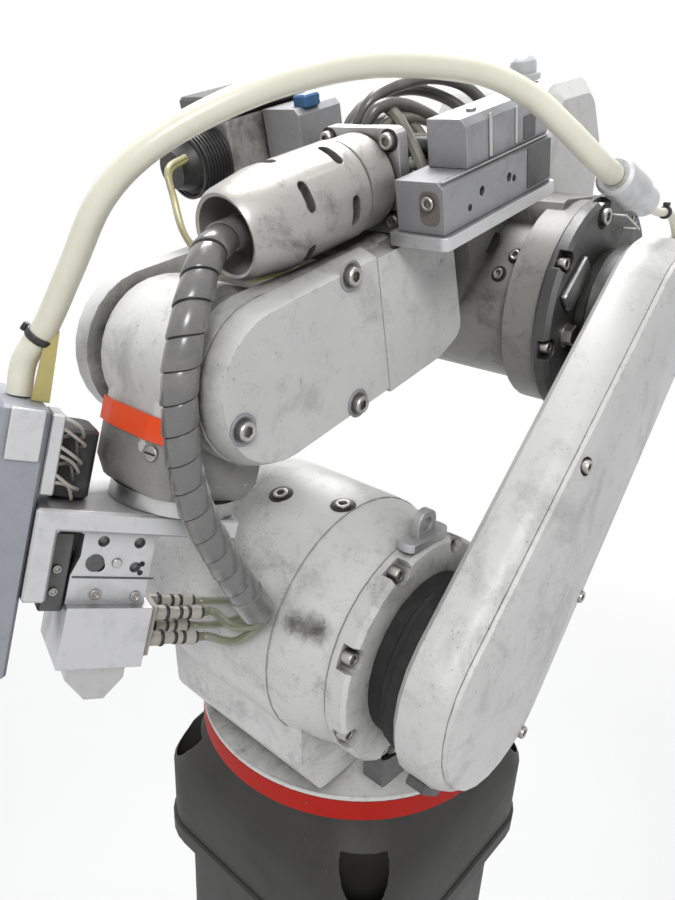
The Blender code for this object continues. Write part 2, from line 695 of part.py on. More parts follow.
def hose_anchor(mats, lower):
    """Lug with a clamp on the top of the link, which holds the hose."""
    seat = LOWER_ARM_LENGTH + ARM_HEAD_RADIUS
    y = ARM_INNER + ARM_CASTING_DEPTH * 0.45
    outline = rounded([(-0.012, seat - 0.012, 0), (0.012, seat - 0.012, 0),
                       (0.012, seat + 0.018, 0.008), (-0.012, seat + 0.018, 0.008)], 3)
    lug = add("hose_anchor", prism(outline, y - 0.004, y + 0.004, "XZ"), lower, mats["white"])
    cut(lug, loft([(arm_section(-SEAT_GAP), y - 0.02), (arm_section(-SEAT_GAP), y + 0.02)], "XZ"))


# Elbow

def elbow_casting(mats, elbow):
    """Drum on the elbow axis, in one casting with the roll bearing's housing above it."""
    front = ELBOW_FACE - ELBOW_RING_THICKNESS - SEAT_GAP
    drum = [(0, DRUM_BACK), (DRUM_INNER_RADIUS - 0.008, DRUM_BACK), (DRUM_INNER_RADIUS, DRUM_BACK + 0.008),
            (DRUM_INNER_RADIUS, DRUM_STEP), (DRUM_RADIUS, DRUM_STEP + 0.006), (DRUM_RADIUS, front),
            (0, front)]
    casting = add("elbow_casting", turned(drum, "Y"), elbow, mats["white"])
    face = ROLL_FACE - TURN_GAP
    roll = [(0, -0.030), (ROLL_HOUSING_RADIUS * 0.9, -0.030), (ROLL_HOUSING_RADIUS, -0.010),
            (ROLL_HOUSING_RADIUS, face), (0, face)]
    rear = MOTOR_FRONT - 0.001
    saddle = rounded([(rear, -0.02, 0), (0.045, -0.02, 0), (0.062, 0.030, 0.010),
                      (0.052, 0.100, 0.020), (rear, 0.104, 0.008)])
    block = rounded([(-0.058, 0.000, 0), (0.016, 0.000, 0), (0.014, 0.086, 0.006), (-0.058, 0.070, 0.006)],
                    2)
    fuse(casting, turned(roll, "X", (0, 0, ROLL_AXIS_OFFSET)),
         prism(saddle, -0.052, 0.056, "XZ"), prism(block, MOTOR_WIDTH / 2 + SEAT_GAP, 0.104, "XZ"))


def elbow_ring(mats, elbow):
    """Dark ring bolted on the open side of the drum."""
    low = ELBOW_FACE - ELBOW_RING_THICKNESS
    profile = [(0, low), (ELBOW_RING_RADIUS - 0.002, low), (ELBOW_RING_RADIUS, low + 0.002),
               (ELBOW_RING_RADIUS, ELBOW_FACE - 0.003), (ELBOW_RING_RADIUS - 0.003, ELBOW_FACE),
               (0, ELBOW_FACE)]
    ring = add("elbow_ring", turned(profile, "Y"), elbow, mats["white"])
    pockets = []
    for i in range(SCALLOPS):
        turn = 2 * pi * i / SCALLOPS
        place = Vector((cos(turn), 0, sin(turn))) * (ELBOW_RING_RADIUS - SCALLOP_RADIUS * 0.5)
        pockets.append(pin(SCALLOP_RADIUS * 0.9, low + 0.005, ELBOW_FACE + 0.01, "Y", place, 12))
    cut(ring, *pockets)


def elbow_motor_housing(mats, elbow):
    """Tall cover over the roll motor, behind and above the drum."""
    outline = rounded([(MOTOR_REAR + 0.016, MOTOR_BOTTOM, 0.012), (MOTOR_FRONT - 0.004, MOTOR_BOTTOM, 0),
                       (MOTOR_FRONT, MOTOR_TOP - 0.040, 0.020), (MOTOR_FRONT - 0.030, MOTOR_TOP, 0.018),
                       (MOTOR_REAR + 0.022, MOTOR_TOP - 0.004, 0.024),
                       (MOTOR_REAR, MOTOR_TOP - 0.060, 0.020)])
    half = MOTOR_WIDTH / 2

    def inset(amount):
        middle = Vector(((MOTOR_REAR + MOTOR_FRONT) / 2, (MOTOR_BOTTOM + MOTOR_TOP) / 2))
        width = (MOTOR_FRONT - MOTOR_REAR) / 2
        return [(middle.x + (x - middle.x) * (1 - amount / width),
                 middle.y + (z - middle.y) * (1 - amount / width))
                for x, z in outline]

    sections = [(inset(0.010), -half), (inset(0.0), -half + 0.010), (inset(0.0), half - 0.010),
                (inset(0.010), half)]
    housing = add("elbow_motor_housing", loft(sections, "XZ"), elbow, mats["white"])
    drum = DRUM_INNER_RADIUS + SEAT_GAP
    clear = box(MOTOR_FRONT - 0.001 - SEAT_GAP, DRUM_RADIUS, -MOTOR_WIDTH, MOTOR_WIDTH, -DRUM_RADIUS,
                MOTOR_TOP * 2)
    cut(housing, pin(drum, -0.2, 0.2, "Y", sides=ROUND), clear)


def status_lamp(mats, elbow):
    """Small dome lamp on top of the motor housing."""
    seat = MOTOR_TOP + SEAT_GAP
    centre = ((MOTOR_REAR + MOTOR_FRONT) / 2 + 0.006, 0.012, 0)
    profile = [(0, seat), (LAMP_RADIUS * 1.3, seat), (LAMP_RADIUS * 1.3, seat + 0.005),
               (LAMP_RADIUS, seat + 0.006),
               (LAMP_RADIUS, seat + 0.012)]
    for i in range(1, 5):
        turn = i / 4 * pi / 2
        profile.append((LAMP_RADIUS * cos(turn) if i < 4 else 0,
                        seat + 0.012 + LAMP_RADIUS * 0.7 * sin(turn)))
    add("status_lamp", turned(profile, "Z", centre, SMALL_ROUND), elbow, mats["white"])


# Forearm

def forearm_flange(mats, roll):
    """Three-cornered flange between the roll bearing and the forearm."""
    low = ROLL_FACE
    high = low + ROLL_FLANGE_THICKNESS
    corners = []
    for i in range(3):
        turn = pi / 2 + 2 * pi * i / 3
        corners.append((1.30 * ROLL_FLANGE_RADIUS * cos(turn), 1.30 * ROLL_FLANGE_RADIUS * sin(turn),
                        ROLL_FLANGE_RADIUS * 0.62))
    add("forearm_flange", prism(rounded(corners, 8), low, high, "YZ"), roll, mats["white"])


def forearm_casting(mats, roll):
    """Forearm housing that opens into the fork of the wrist."""
    low = ROLL_FACE + ROLL_FLANGE_THICKNESS + SEAT_GAP
    wide = FOREARM_HALF_WIDTH
    root = FOREARM_LENGTH - FORK_DEPTH
    seam = cover_rear() - SEAT_GAP

    def section(half, bottom, top, radius):
        return rectangle(-half, half, bottom, top, radius)

    sections = [(section(wide * 0.72, FOREARM_BOTTOM * 0.80, FOREARM_TOP * 0.80, 0.016), low),
                (section(wide * 0.84, FOREARM_BOTTOM * 0.90, FOREARM_TOP * 0.98, 0.016), low + 0.016),
                (section(wide, FOREARM_BOTTOM, FOREARM_TOP, 0.012), low + 0.040),
                (section(wide, FOREARM_BOTTOM, FOREARM_TOP, 0.012), root)]
    casting = add("forearm_casting", loft(sections, "YZ"), roll, mats["white"])
    arm = arc(FOREARM_LENGTH, 0, FORK_RADIUS, -pi / 2, pi / 2, 14)
    arm = [(root - 0.040, -FORK_RADIUS * 0.96)] + arm + [(root - 0.040, FORK_RADIUS * 0.90)]
    pad = rounded([(low + 0.022, FOREARM_BOTTOM + 0.010, 0.012),
                   (low + 0.050, FOREARM_BOTTOM + 0.002, 0.020),
                   (seam, FOREARM_BOTTOM + 0.002, 0), (seam, FOREARM_TOP - 0.002, 0),
                   (low + 0.030, FOREARM_TOP - 0.004, 0.012)])
    fuse(casting, prism(arm, FORK_INNER, wide, "XZ"), prism(arm, -wide, -FORK_INNER, "XZ"),
         prism(pad, wide - 0.004, FOREARM_FACE, "XZ"))


def cover_rear():
    return FOREARM_LENGTH - COVER_LENGTH


def cover_outline(rear, radius):
    points = arc(FOREARM_LENGTH, 0, radius, -pi / 2, pi / 2, 14)
    return [(rear, -radius)] + points + [(rear, radius)]


def forearm_side_cover(mats, roll):
    """Raised cover on the side of the fork."""
    low = FOREARM_HALF_WIDTH + SEAT_GAP
    rear = cover_rear()
    sections = [(cover_outline(rear, FORK_RADIUS - 0.001), low),
                (cover_outline(rear, FORK_RADIUS - 0.0015), low + 0.004),
                (cover_outline(rear, COVER_RADIUS), FOREARM_FACE)]
    add("forearm_side_cover", loft(sections, "XZ"), roll, mats["white"])


def forearm_back_cover(mats, roll):
    """Flat metal cover on the far side of the fork."""
    high = -FOREARM_HALF_WIDTH - SEAT_GAP
    rear = cover_rear() - 0.050
    radius = min(FORK_RADIUS, FOREARM_TOP) - 0.001
    sections = [(cover_outline(rear, radius - 0.003), FOREARM_BACK_FACE),
                (cover_outline(rear, radius), FOREARM_BACK_FACE + 0.003),
                (cover_outline(rear, radius), high)]
    add("forearm_back_cover", loft(sections, "XZ"), roll, mats["dark"])


# Dress package

def plate_top():
    return FOREARM_TOP + SEAT_GAP + PLATE_THICKNESS


def dress_plate(mats, roll):
    """Aluminium plate on the forearm, wider on the left where it carries the valve blocks."""
    low = FOREARM_TOP + SEAT_GAP
    notch = GLAND_SEAT + GLAND_FLANGE_THICKNESS
    notch_side = GLAND_Y + GLAND_RADIUS + 0.003
    junction = PLATE_NECK_REAR + JUNCTION_LENGTH
    outline = rounded([(PLATE_NECK_REAR, PLATE_RIGHT, 0.006), (junction, PLATE_RIGHT, 0.006),
                       (junction, PLATE_RIGHT + JUNCTION_WIDTH, 0.004),
                       (notch, PLATE_RIGHT + JUNCTION_WIDTH, 0),
                       (notch, notch_side, 0), (PLATE_FRONT, notch_side, 0.002),
                       (PLATE_FRONT, PLATE_LEFT, 0.005), (PLATE_REAR, PLATE_LEFT, 0.005),
                       (PLATE_REAR, PLATE_NECK_SIDE, 0.003), (PLATE_NECK_REAR, PLATE_NECK_SIDE, 0.006)])
    add("dress_plate", prism(outline, low, low + PLATE_THICKNESS, "XY"), roll, mats["aluminium"])


def gland_axis():
    return plate_top() + GLAND_HEIGHT


def gland_rear():
    return GLAND_SEAT + GLAND_FLANGE_THICKNESS + SEAT_GAP


def gland_mouth():
    return gland_rear() + GLAND_LENGTH


def gland_flange(mats, roll):
    """Square flange on a foot, which holds the gland's body."""
    rear = GLAND_SEAT
    z = gland_axis()
    half = GLAND_FLANGE / 2
    seat = plate_top() + SEAT_GAP
    outline = rectangle(GLAND_Y - half, GLAND_Y + half, max(seat, z - half), z + half, 0.006)
    flange = add("gland_flange", prism(outline, rear, rear + GLAND_FLANGE_THICKNESS, "YZ"), roll,
                 mats["aluminium"])
    foot = [(rear - GLAND_FOOT, seat), (rear + 0.004, seat), (rear + 0.004, z), (rear + 0.001, z)]
    fuse(flange, prism(foot, GLAND_Y - 0.020, GLAND_Y - 0.014, "XZ"),
         prism(foot, GLAND_Y + 0.014, GLAND_Y + 0.020, "XZ"))
    cut(flange, pin(GLAND_MOUTH_RADIUS - GLAND_WALL * 2, rear - GLAND_FOOT, rear + GLAND_FLANGE, "X",
                    (0, GLAND_Y, z)))


def gland_barrel(mats, roll):
    """Slotted sleeve that the conduit leaves; open at its mouth."""
    rear = gland_rear()
    mouth = gland_mouth()
    centre = (0, GLAND_Y, gland_axis())
    groove = rear + GLAND_COLLAR
    bore = GLAND_MOUTH_RADIUS - GLAND_WALL
    profile = [(0, rear), (GLAND_RADIUS - 0.003, rear), (GLAND_RADIUS - 0.001, rear + 0.003),
               (GLAND_RADIUS - 0.001, groove), (GLAND_RADIUS - 0.003, groove + 0.001),
               (GLAND_RADIUS, groove + 0.003),
               (GLAND_RADIUS, mouth - GLAND_TAPER), (GLAND_MOUTH_RADIUS, mouth - 0.004),
               (GLAND_MOUTH_RADIUS - 0.0025, mouth), (bore, mouth - 0.001), (bore, rear + GLAND_FLOOR),
               (0, rear + GLAND_FLOOR)]
    barrel = add("gland_barrel", turned(profile, "X", centre), roll, mats["aluminium"])
    slots = []
    for row, start in enumerate((groove + 0.014, groove + 0.050)):
        for i in range(GLAND_SLOTS):
            turn = 2 * pi * (i + 0.6 + 0.5 * row) / GLAND_SLOTS
            outline = rectangle(start, start + SLOT_WIDTH, -SLOT_LENGTH / 2, SLOT_LENGTH / 2,
                                SLOT_WIDTH * 0.49, 2)
            slot = prism(outline, bore * 0.7, GLAND_RADIUS + 0.01, "XY")
            bmesh.ops.rotate(slot, verts=slot.verts, cent=(0, 0, 0), matrix=Matrix.Rotation(turn, 3, "X"))
            bmesh.ops.translate(slot, verts=slot.verts, vec=centre)
            slots.append(slot)
    cut(barrel, *slots)


def valve_block(name, x0, x1, y0, y1, z0, z1, mats, roll, material="aluminium"):
    """Block with a stepped top edge, as a terminal or valve block has."""
    step = min(0.004, (z1 - z0) * 0.2)
    outline = [(y0, z0), (y1, z0), (y1, z1 - step), (y1 - step, z1), (y0, z1)]
    return add(name, prism(outline, x0, x1, "YZ"), roll, mats[material])


def valve_blocks(mats, roll):
    seat = plate_top() + SEAT_GAP
    left = PLATE_LEFT - 0.004
    lower_top = seat + BLOCK_HEIGHT
    lower = valve_block("valve_block_lower", PLATE_REAR + 0.002, PLATE_FRONT - 0.004, left - BLOCK_WIDTH,
                        left,
                        seat, lower_top, mats, roll)
    cut(lower, *[pin(0.003, left - 0.006, left + 0.01, "Y",
                     (PLATE_REAR + share * (PLATE_FRONT - PLATE_REAR), 0,
                                                           seat + BLOCK_HEIGHT * 0.5), 12)
                 for share in (0.18, 0.42, 0.66)])
    upper_seat = lower_top + SEAT_GAP
    valve_block("valve_block_upper", PLATE_REAR + 0.002, PLATE_FRONT - 0.034, left - BLOCK_WIDTH * 0.9,
                left - 0.003,
                upper_seat, upper_seat + BLOCK_HEIGHT * 0.9, mats, roll)
    inner = far_block_inner()
    valve_block("valve_block_far", PLATE_NECK_REAR + 0.006, GLAND_SEAT + 0.002, inner - BLOCK_WIDTH, inner,
                seat, seat + FAR_BLOCK_HEIGHT, mats, roll)


def far_block_inner():
    """Side of the far block that faces the cables."""
    return PLATE_RIGHT + JUNCTION_WIDTH + 0.002 + BLOCK_WIDTH


def junction_box(mats, roll):
    """Box on the far side of the plate, rounded toward the wrist, with a lid and a round plug."""
    rear = PLATE_NECK_REAR + 0.002
    front = rear + JUNCTION_LENGTH - 0.006
    low = plate_top() + SEAT_GAP
    high = low + JUNCTION_HEIGHT
    outer = PLATE_RIGHT + 0.001
    inner = outer + JUNCTION_WIDTH - 0.002
    seam = high - JUNCTION_LID
    outline = rounded([(rear, low, 0.004), (front, low, 0.012), (front, seam, 0.004), (rear, seam, 0)])
    box_piece = add("junction_box", prism(outline, outer, inner, "XZ"), roll, mats["white"])
    soften(box_piece, 0.004, 2)
    lid = add("junction_lid", prism(rectangle(rear - 0.003, front + 0.003, outer - 0.002, inner + 0.001,
                                              0.005),
                                    seam + SEAT_GAP, high, "XY"), roll, mats["aluminium"])
    soften(lid, 0.002, 1)
    seat = front + SEAT_GAP
    end = seat + PLUG_LENGTH
    profile = [(0, seat), (PLUG_RADIUS, seat), (PLUG_RADIUS, end - 0.016),
               (PLUG_RADIUS - 0.006, end - 0.008),
               (PLUG_RADIUS - 0.009, end), (0, end)]
    middle = (0, (outer + inner) / 2, low + PLUG_RADIUS + 0.018)
    add("junction_plug", turned(profile, "X", middle, SMALL_ROUND), roll, mats["black"])


def dress_cables(mats, roll):
    """Cables that loop from the far block over to the valve blocks."""
    radius = TUBE_RADIUS * 1.3
    foot = plate_top() + SEAT_GAP + BLOCK_HEIGHT * 0.4
    y0 = far_block_inner() + SEAT_GAP
    y1 = PLATE_LEFT - 0.004 - BLOCK_WIDTH - SEAT_GAP
    for i, (reach, rise) in enumerate(((0.004, 0.036), (0.022, 0.048))):
        x = PLATE_NECK_REAR + 0.006 + radius + reach
        span = y1 - y0
        points = [(x, y0 + 0.002, foot), (x - 0.004, y0 + span * 0.14, foot + rise * 0.5),
                  (x - 0.008, y0 + span * 0.36, foot + rise), (x - 0.006, y0 + span * 0.64, foot + rise),
                  (x - 0.002, y0 + span * 0.86, foot + rise * 0.5), (x, y1 - 0.002, foot)]
        route = [(x, y0, foot)] + smooth_route(points, 3) + [(x, y1, foot)]
        tube("dress_cable_%d" % (i + 1), route, radius, roll, mats["cable"])


# Wrist

def wrist_casting(mats, wrist):
    """Round wrist between the fork's arms, with the square neck that leads to the tool."""
    half = WRIST_HALF_WIDTH
    edge = 0.012
    dome = [(0, -half)]
    for i in range(4):
        turn = i / 3 * pi / 2
        dome.append((WRIST_RADIUS - edge * (1 - sin(turn)), -half + edge * (1 - cos(turn))))
    for i in range(4):
        turn = i / 3 * pi / 2
        dome.append((WRIST_RADIUS - edge * (1 - cos(turn)), half - edge * (1 - sin(turn))))
    dome.append((0, half))
    casting = add("wrist_casting", turned(dome, "Y"), wrist, mats["white"])
    deep = NECK_DEPTH / 2
    wide = NECK_WIDTH / 2
    end = TOOL_FACE - TURN_GAP
    edge = 0.006
    neck = loft([(rectangle(-wide, wide, -deep, deep, NECK_CORNER), 0.010),
                 (rectangle(-wide, wide, -deep, deep, NECK_CORNER), end - 2 * edge),
                 (rectangle(-wide + edge, wide - edge, -deep + edge, deep - edge, NECK_CORNER - edge),
                  end)], "YZ")
    hubs = [pin(WRIST_HUB_RADIUS, side * (half - 0.004), side * (FORK_INNER - TURN_GAP),
                "Y") for side in (-1, 1)]
    fuse(casting, neck, *hubs)


# Tool

def tool_adapter(mats, tool):
    add("tool_adapter", pin(ADAPTER_RADIUS, 0, ADAPTER_THICKNESS, "X", sides=ROUND), tool, mats["steel"])


def bracket_seat():
    """Distance along the tool axis to the under side of the bracket's plate."""
    return ADAPTER_THICKNESS + SEAT_GAP + BRACKET_THICKNESS


def tool_bracket(mats, tool):
    """Angle bracket: a plate across the tool face and a leg down from its front end."""
    low = ADAPTER_THICKNESS + SEAT_GAP
    high = bracket_seat()
    half = BRACKET_WIDTH / 2
    outline = [(low, BRACKET_TAIL), (low, BRACKET_REACH), (low + BRACKET_DROP, BRACKET_REACH),
               (low + BRACKET_DROP, BRACKET_REACH - BRACKET_THICKNESS),
               (high, BRACKET_REACH - BRACKET_THICKNESS),
               (high, BRACKET_TAIL)]
    bracket = add("tool_bracket", prism(outline, -half, half, "XZ"), tool, mats["aluminium"])
    soften(bracket, 0.0015, 1)


def tool_head(mats, tool):
    """Tall plate on the front of the bracket's leg, with a lighter block on its upper end."""
    low = BRACKET_REACH + SEAT_GAP
    half = HEAD_PLATE_WIDTH / 2
    top = -HEAD_PLATE_RISE
    plate = add("tool_side_plate", box(top, HEAD_PLATE_DROP, -half, half, low, low + HEAD_PLATE_THICKNESS),
                tool, mats["aluminium"])
    soften(plate, 0.002, 1)
    block = add("tool_head_block", box(top + 0.002, ADAPTER_THICKNESS - 0.006, half - 0.022, half - 0.001,
                                       low - 0.008, low - SEAT_GAP), tool, mats["steel"])
    soften(block, 0.001, 1)


def sensor_housing(mats, tool):
    """Black housing in front of the wrist's neck, on the bracket's plate."""
    corner = hypot(NECK_WIDTH / 2 - NECK_CORNER, NECK_DEPTH / 2 - NECK_CORNER) + NECK_CORNER
    back = corner + RUN_GAP
    front = BRACKET_REACH - 0.008
    low = ADAPTER_THICKNESS
    half = 0.017
    outline = rectangle(-half, half, back, front, 0.007)
    housing = add("sensor_housing", prism(outline, low - 0.042, low, "YZ"), tool, mats["black"])
    soften(housing, 0.002, 1)


def gripper_body(mats, tool):
    """Gripper block hung under the bracket's plate, with a stepped face."""
    low = bracket_seat() + SEAT_GAP
    half = GRIPPER_WIDTH / 2
    mid = low + GRIPPER_STEP
    end = low + GRIPPER_LENGTH
    outline = [(low, GRIPPER_REAR + 0.004), (low, GRIPPER_FRONT - 0.004), (mid, GRIPPER_FRONT - 0.004),
               (mid + 0.012, GRIPPER_FRONT), (end, GRIPPER_FRONT), (end, GRIPPER_REAR),
               (mid + 0.030, GRIPPER_REAR),
               (mid + 0.030, GRIPPER_REAR + 0.004)]
    body = add("gripper_body", prism(outline, -half, half, "XZ"), tool, mats["aluminium"])
    ledge = box(low - 0.01, mid + 0.030, half - 0.007, half + 0.01, GRIPPER_REAR - 0.01,
                GRIPPER_FRONT + 0.01)
    cut(body, ledge, *[pin(0.0035, half - 0.013, half, "Y", (x, 0, z), 12)
                       for x in (low + 0.010, low + 0.026) for z in (GRIPPER_REAR + 0.014,
                                                                     GRIPPER_FRONT - 0.016)])


def gripper_jaws(mats, tool):
    seat = bracket_seat() + GRIPPER_LENGTH + 2 * SEAT_GAP
    for name, side in (("gripper_jaw_left", 1), ("gripper_jaw_right", -1)):
        inner, outer = sorted((side * 0.004, side * 0.020))
        end = seat + JAW_LENGTH
        outline = [(seat, GRIPPER_REAR + 0.008), (seat, GRIPPER_FRONT - 0.008),
                   (seat + 0.010, GRIPPER_FRONT - 0.008),
                   (end, GRIPPER_FRONT - 0.022), (end, GRIPPER_REAR + 0.018),
                   (seat + 0.010, GRIPPER_REAR + 0.008)]
        add(name, prism(outline, inner, outer, "XZ"), tool, mats["steel"])


def tool_slide(mats, tool):
    """Black linear slide on the inner face of the bracket's leg."""
    low = bracket_seat() + 0.006
    high = BRACKET_REACH - BRACKET_THICKNESS - SEAT_GAP
    slide = add("tool_slide", box(low, low + SLIDE_LENGTH, -0.018, 0.018, high - SLIDE_DEPTH, high),
                tool, mats["black"])
    soften(slide, 0.001, 1)


def fitting_places():
    """Centres of the push-in fittings on the rear face of the gripper block, as (x, y)."""
    low = bracket_seat() + GRIPPER_LENGTH
    return [(low - 0.030, 0.012), (low - 0.030, -0.006), (low - 0.012, 0.012), (low - 0.012, -0.006)]


def tool_fittings(mats, tool):
    """Four push-in fittings on one strip, on the rear face of the gripper block."""
    seat = GRIPPER_REAR - SEAT_GAP
    xs = [x for x, y in fitting_places()]
    ys = [y for x, y in fitting_places()]
    strip = add("gripper_fittings", box(min(xs) - 0.008, max(xs) + 0.008, min(ys) - 0.008, max(ys) + 0.008,
                                        seat - 0.005, seat), tool, mats["steel"])
    shapes = []
    for x, y in fitting_places():
        profile = [(0, -0.003), (FITTING_RADIUS, -0.003), (FITTING_RADIUS, -0.016),
                   (FITTING_RADIUS * 0.8, -0.018),
                   (FITTING_RADIUS * 0.8, -FITTING_LENGTH + 0.006),
                   (FITTING_RADIUS, -FITTING_LENGTH + 0.004),
                   (FITTING_RADIUS, -FITTING_LENGTH), (0, -FITTING_LENGTH)]
        shapes.append(turned(profile, "Z", (x, y, seat), 12))
    fuse(strip, *shapes)


def tool_tubes(mats, tool):
    """Two of the air tubes that leave the conduit and turn back to the fittings, one inside the other."""
    end = Vector(CONDUIT_ROUTE[-1][1:])
    along = (end - Vector(CONDUIT_ROUTE[-2][1:])).normalized()
    low = GRIPPER_REAR - 2 * SEAT_GAP - FITTING_LENGTH
    starts = [Vector((*fitting_places()[i], low)) for i in (0, 2)]
    apart = starts[1] - starts[0]
    across = (apart - along * along.dot(apart)).normalized() * TUBE_RADIUS * 1.5
    for i, (start, side) in enumerate(zip(starts, (across, -across))):
        far = end + along * TUBE_RADIUS * 0.3 + side
        below = start + Vector((0, 0, -0.002))
        ahead = far + along * 0.002
        bow = TUBE_BOW * (1 + 0.6 * i)
        points = [below, below + Vector((0, 0, -0.008)), (start + far) / 2 + bow, ahead + along * 0.008,
                  ahead]
        tube("tool_tube_%d" % (i + 1), [start] + smooth_route(points, 4) + [far], TUBE_RADIUS, tool,
             mats["tube"])


def hose_coupling(mats, lower):
    """Cylindrical coupling between the hose and the thinner tail that the lug holds."""
    first = Vector(COUPLING_START) + Vector((0, 0, LOWER_ARM_LENGTH))
    along = Vector(COUPLING_RUN).normalized()
    length = Vector(COUPLING_RUN).length - 2 * SEAT_GAP
    profile = [(0, 0), (COUPLING_RADIUS - 0.002, 0), (COUPLING_RADIUS, 0.002),
               (COUPLING_RADIUS, length * 0.62),
               (COUPLING_RADIUS - 0.002, length * 0.66), (COUPLING_RADIUS - 0.002, length - 0.002),
               (COUPLING_RADIUS - 0.004, length), (0, length)]
    bm = turned(profile, "Z", sides=SMALL_ROUND)
    bmesh.ops.rotate(bm, verts=bm.verts, cent=(0, 0, 0),
                     matrix=Vector((0, 0, 1)).rotation_difference(along).to_matrix())
    bmesh.ops.translate(bm, verts=bm.verts, vec=first + along * SEAT_GAP)
    add("hose_coupling", bm, lower, mats["aluminium"])


def conduit(mats, places):
    """Conduit from the floor of the gland to the gripper, in one length for each body."""
    floor = GLAND_FLOOR - GLAND_LENGTH
    held = [("gland", floor, 0, 0), ("gland", floor + GLAND_LENGTH * 0.35, 0, 0)]
    hose_pieces(laid(held + CONDUIT_ROUTE, places), CONDUIT_SPLITS,
                ("conduit_upper", "conduit_middle", "conduit_lower"),
                [places[name][0] for name in ("gland", "wrist", "tool")], CONDUIT_RADIUS, mats["conduit"])


def vacuum_hose(mats, places):
    """Hose from the tool's tall plate to the coupling, and the tail that ends at the lug."""
    middle = BRACKET_REACH + SEAT_GAP + HEAD_PLATE_THICKNESS / 2
    held = [("tool", -HEAD_PLATE_RISE - rise, HOSE_SEAT_Y, middle) for rise in (SEAT_GAP, 0.020)]
    start = Vector(COUPLING_START)
    run = Vector(COUPLING_RUN)
    last = [("head", *(start - run * 0.45)), ("head", *start)]
    hose_pieces(laid(held + HOSE_ROUTE + last, places), HOSE_SPLITS,
                ("hose_tool", "hose_wrist", "hose_forearm", "hose_elbow"),
                [places[name][0] for name in ("tool", "wrist", "gland", "elbow")], HOSE_RADIUS,
                mats["hose"])
    tail = [("head", *(start + run)), ("head", *(start + run * 1.36))] + HOSE_TAIL_ROUTE
    hose_pieces(laid(tail, places), (), ("hose_tail",), (places["head"][0],), TUBE_RADIUS, mats["hose"])


def build():
    for obj in list(bpy.data.objects):
        bpy.data.objects.remove(obj, do_unlink=True)
    mats = make_materials()
    pedestal_foot(mats)
    pedestal_column(mats)
    pedestal_top(mats)

    base = axis_empty("base_seat", None, (0, 0, PEDESTAL_HEIGHT))
    base_casting(mats, base)
    base_connector_box(mats, base)

    swivel = axis_empty("axis_s", base, (0, 0, 0))
    swivel_casting(mats, swivel)
    swivel_band(mats, swivel)
    shoulder_flange(mats, swivel)
    shoulder_end_cap(mats, swivel)
    shoulder_clip(mats, swivel)
    shoulder_stop(mats, swivel)

    lower = axis_empty("axis_l", swivel, (SHOULDER_X, 0, SHOULDER_Z), LOWER_ARM_LEAN)
    shoulder_hub(mats, lower)
    elbow_hub(mats, lower)
    lower_arm_casting(mats, lower)
    lower_arm_cover(mats, lower)
    lower_arm_stop(mats, lower)
    hose_anchor(mats, lower)

    elbow = axis_empty("axis_u", lower, (0, 0, LOWER_ARM_LENGTH), FOREARM_PITCH - LOWER_ARM_LEAN)
    elbow_casting(mats, elbow)
    elbow_ring(mats, elbow)
    elbow_motor_housing(mats, elbow)
    status_lamp(mats, elbow)

    roll = axis_empty("axis_r", elbow, (0, 0, ROLL_AXIS_OFFSET))
    forearm_flange(mats, roll)
    forearm_casting(mats, roll)
    forearm_side_cover(mats, roll)
    forearm_back_cover(mats, roll)
    dress_plate(mats, roll)
    gland_flange(mats, roll)
    gland_barrel(mats, roll)
    valve_blocks(mats, roll)
    junction_box(mats, roll)
    dress_cables(mats, roll)

    wrist = axis_empty("axis_b", roll, (FOREARM_LENGTH, 0, 0), WRIST_BEND)
    wrist_casting(mats, wrist)

    tool = axis_empty("axis_t", wrist, (TOOL_FACE, 0, 0), 0.0, TOOL_TURN)
    tool_adapter(mats, tool)
    tool_bracket(mats, tool)
    tool_head(mats, tool)
    sensor_housing(mats, tool)
    gripper_body(mats, tool)
    gripper_jaws(mats, tool)
    tool_slide(mats, tool)
    tool_fittings(mats, tool)

    bpy.context.view_layer.update()
    tool_tubes(mats, tool)
    hose_coupling(mats, lower)
    places = route_places(lower, elbow, roll, wrist, tool)
    conduit(mats, places)
    vacuum_hose(mats, places)


build()
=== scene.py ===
"""Looks of a six-axis robot arm on its pedestal: worn paint, machined metal, screws, hoses and cables.

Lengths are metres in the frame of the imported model. The arm reaches forward along +X and its lower arm
stands on the +Y side.
"""

import json
import logging
from dataclasses import dataclass, field
from enum import Enum
from typing import Callable, ClassVar, Sequence

import bmesh
import bpy
import numpy as np
from mathutils import Matrix, Vector


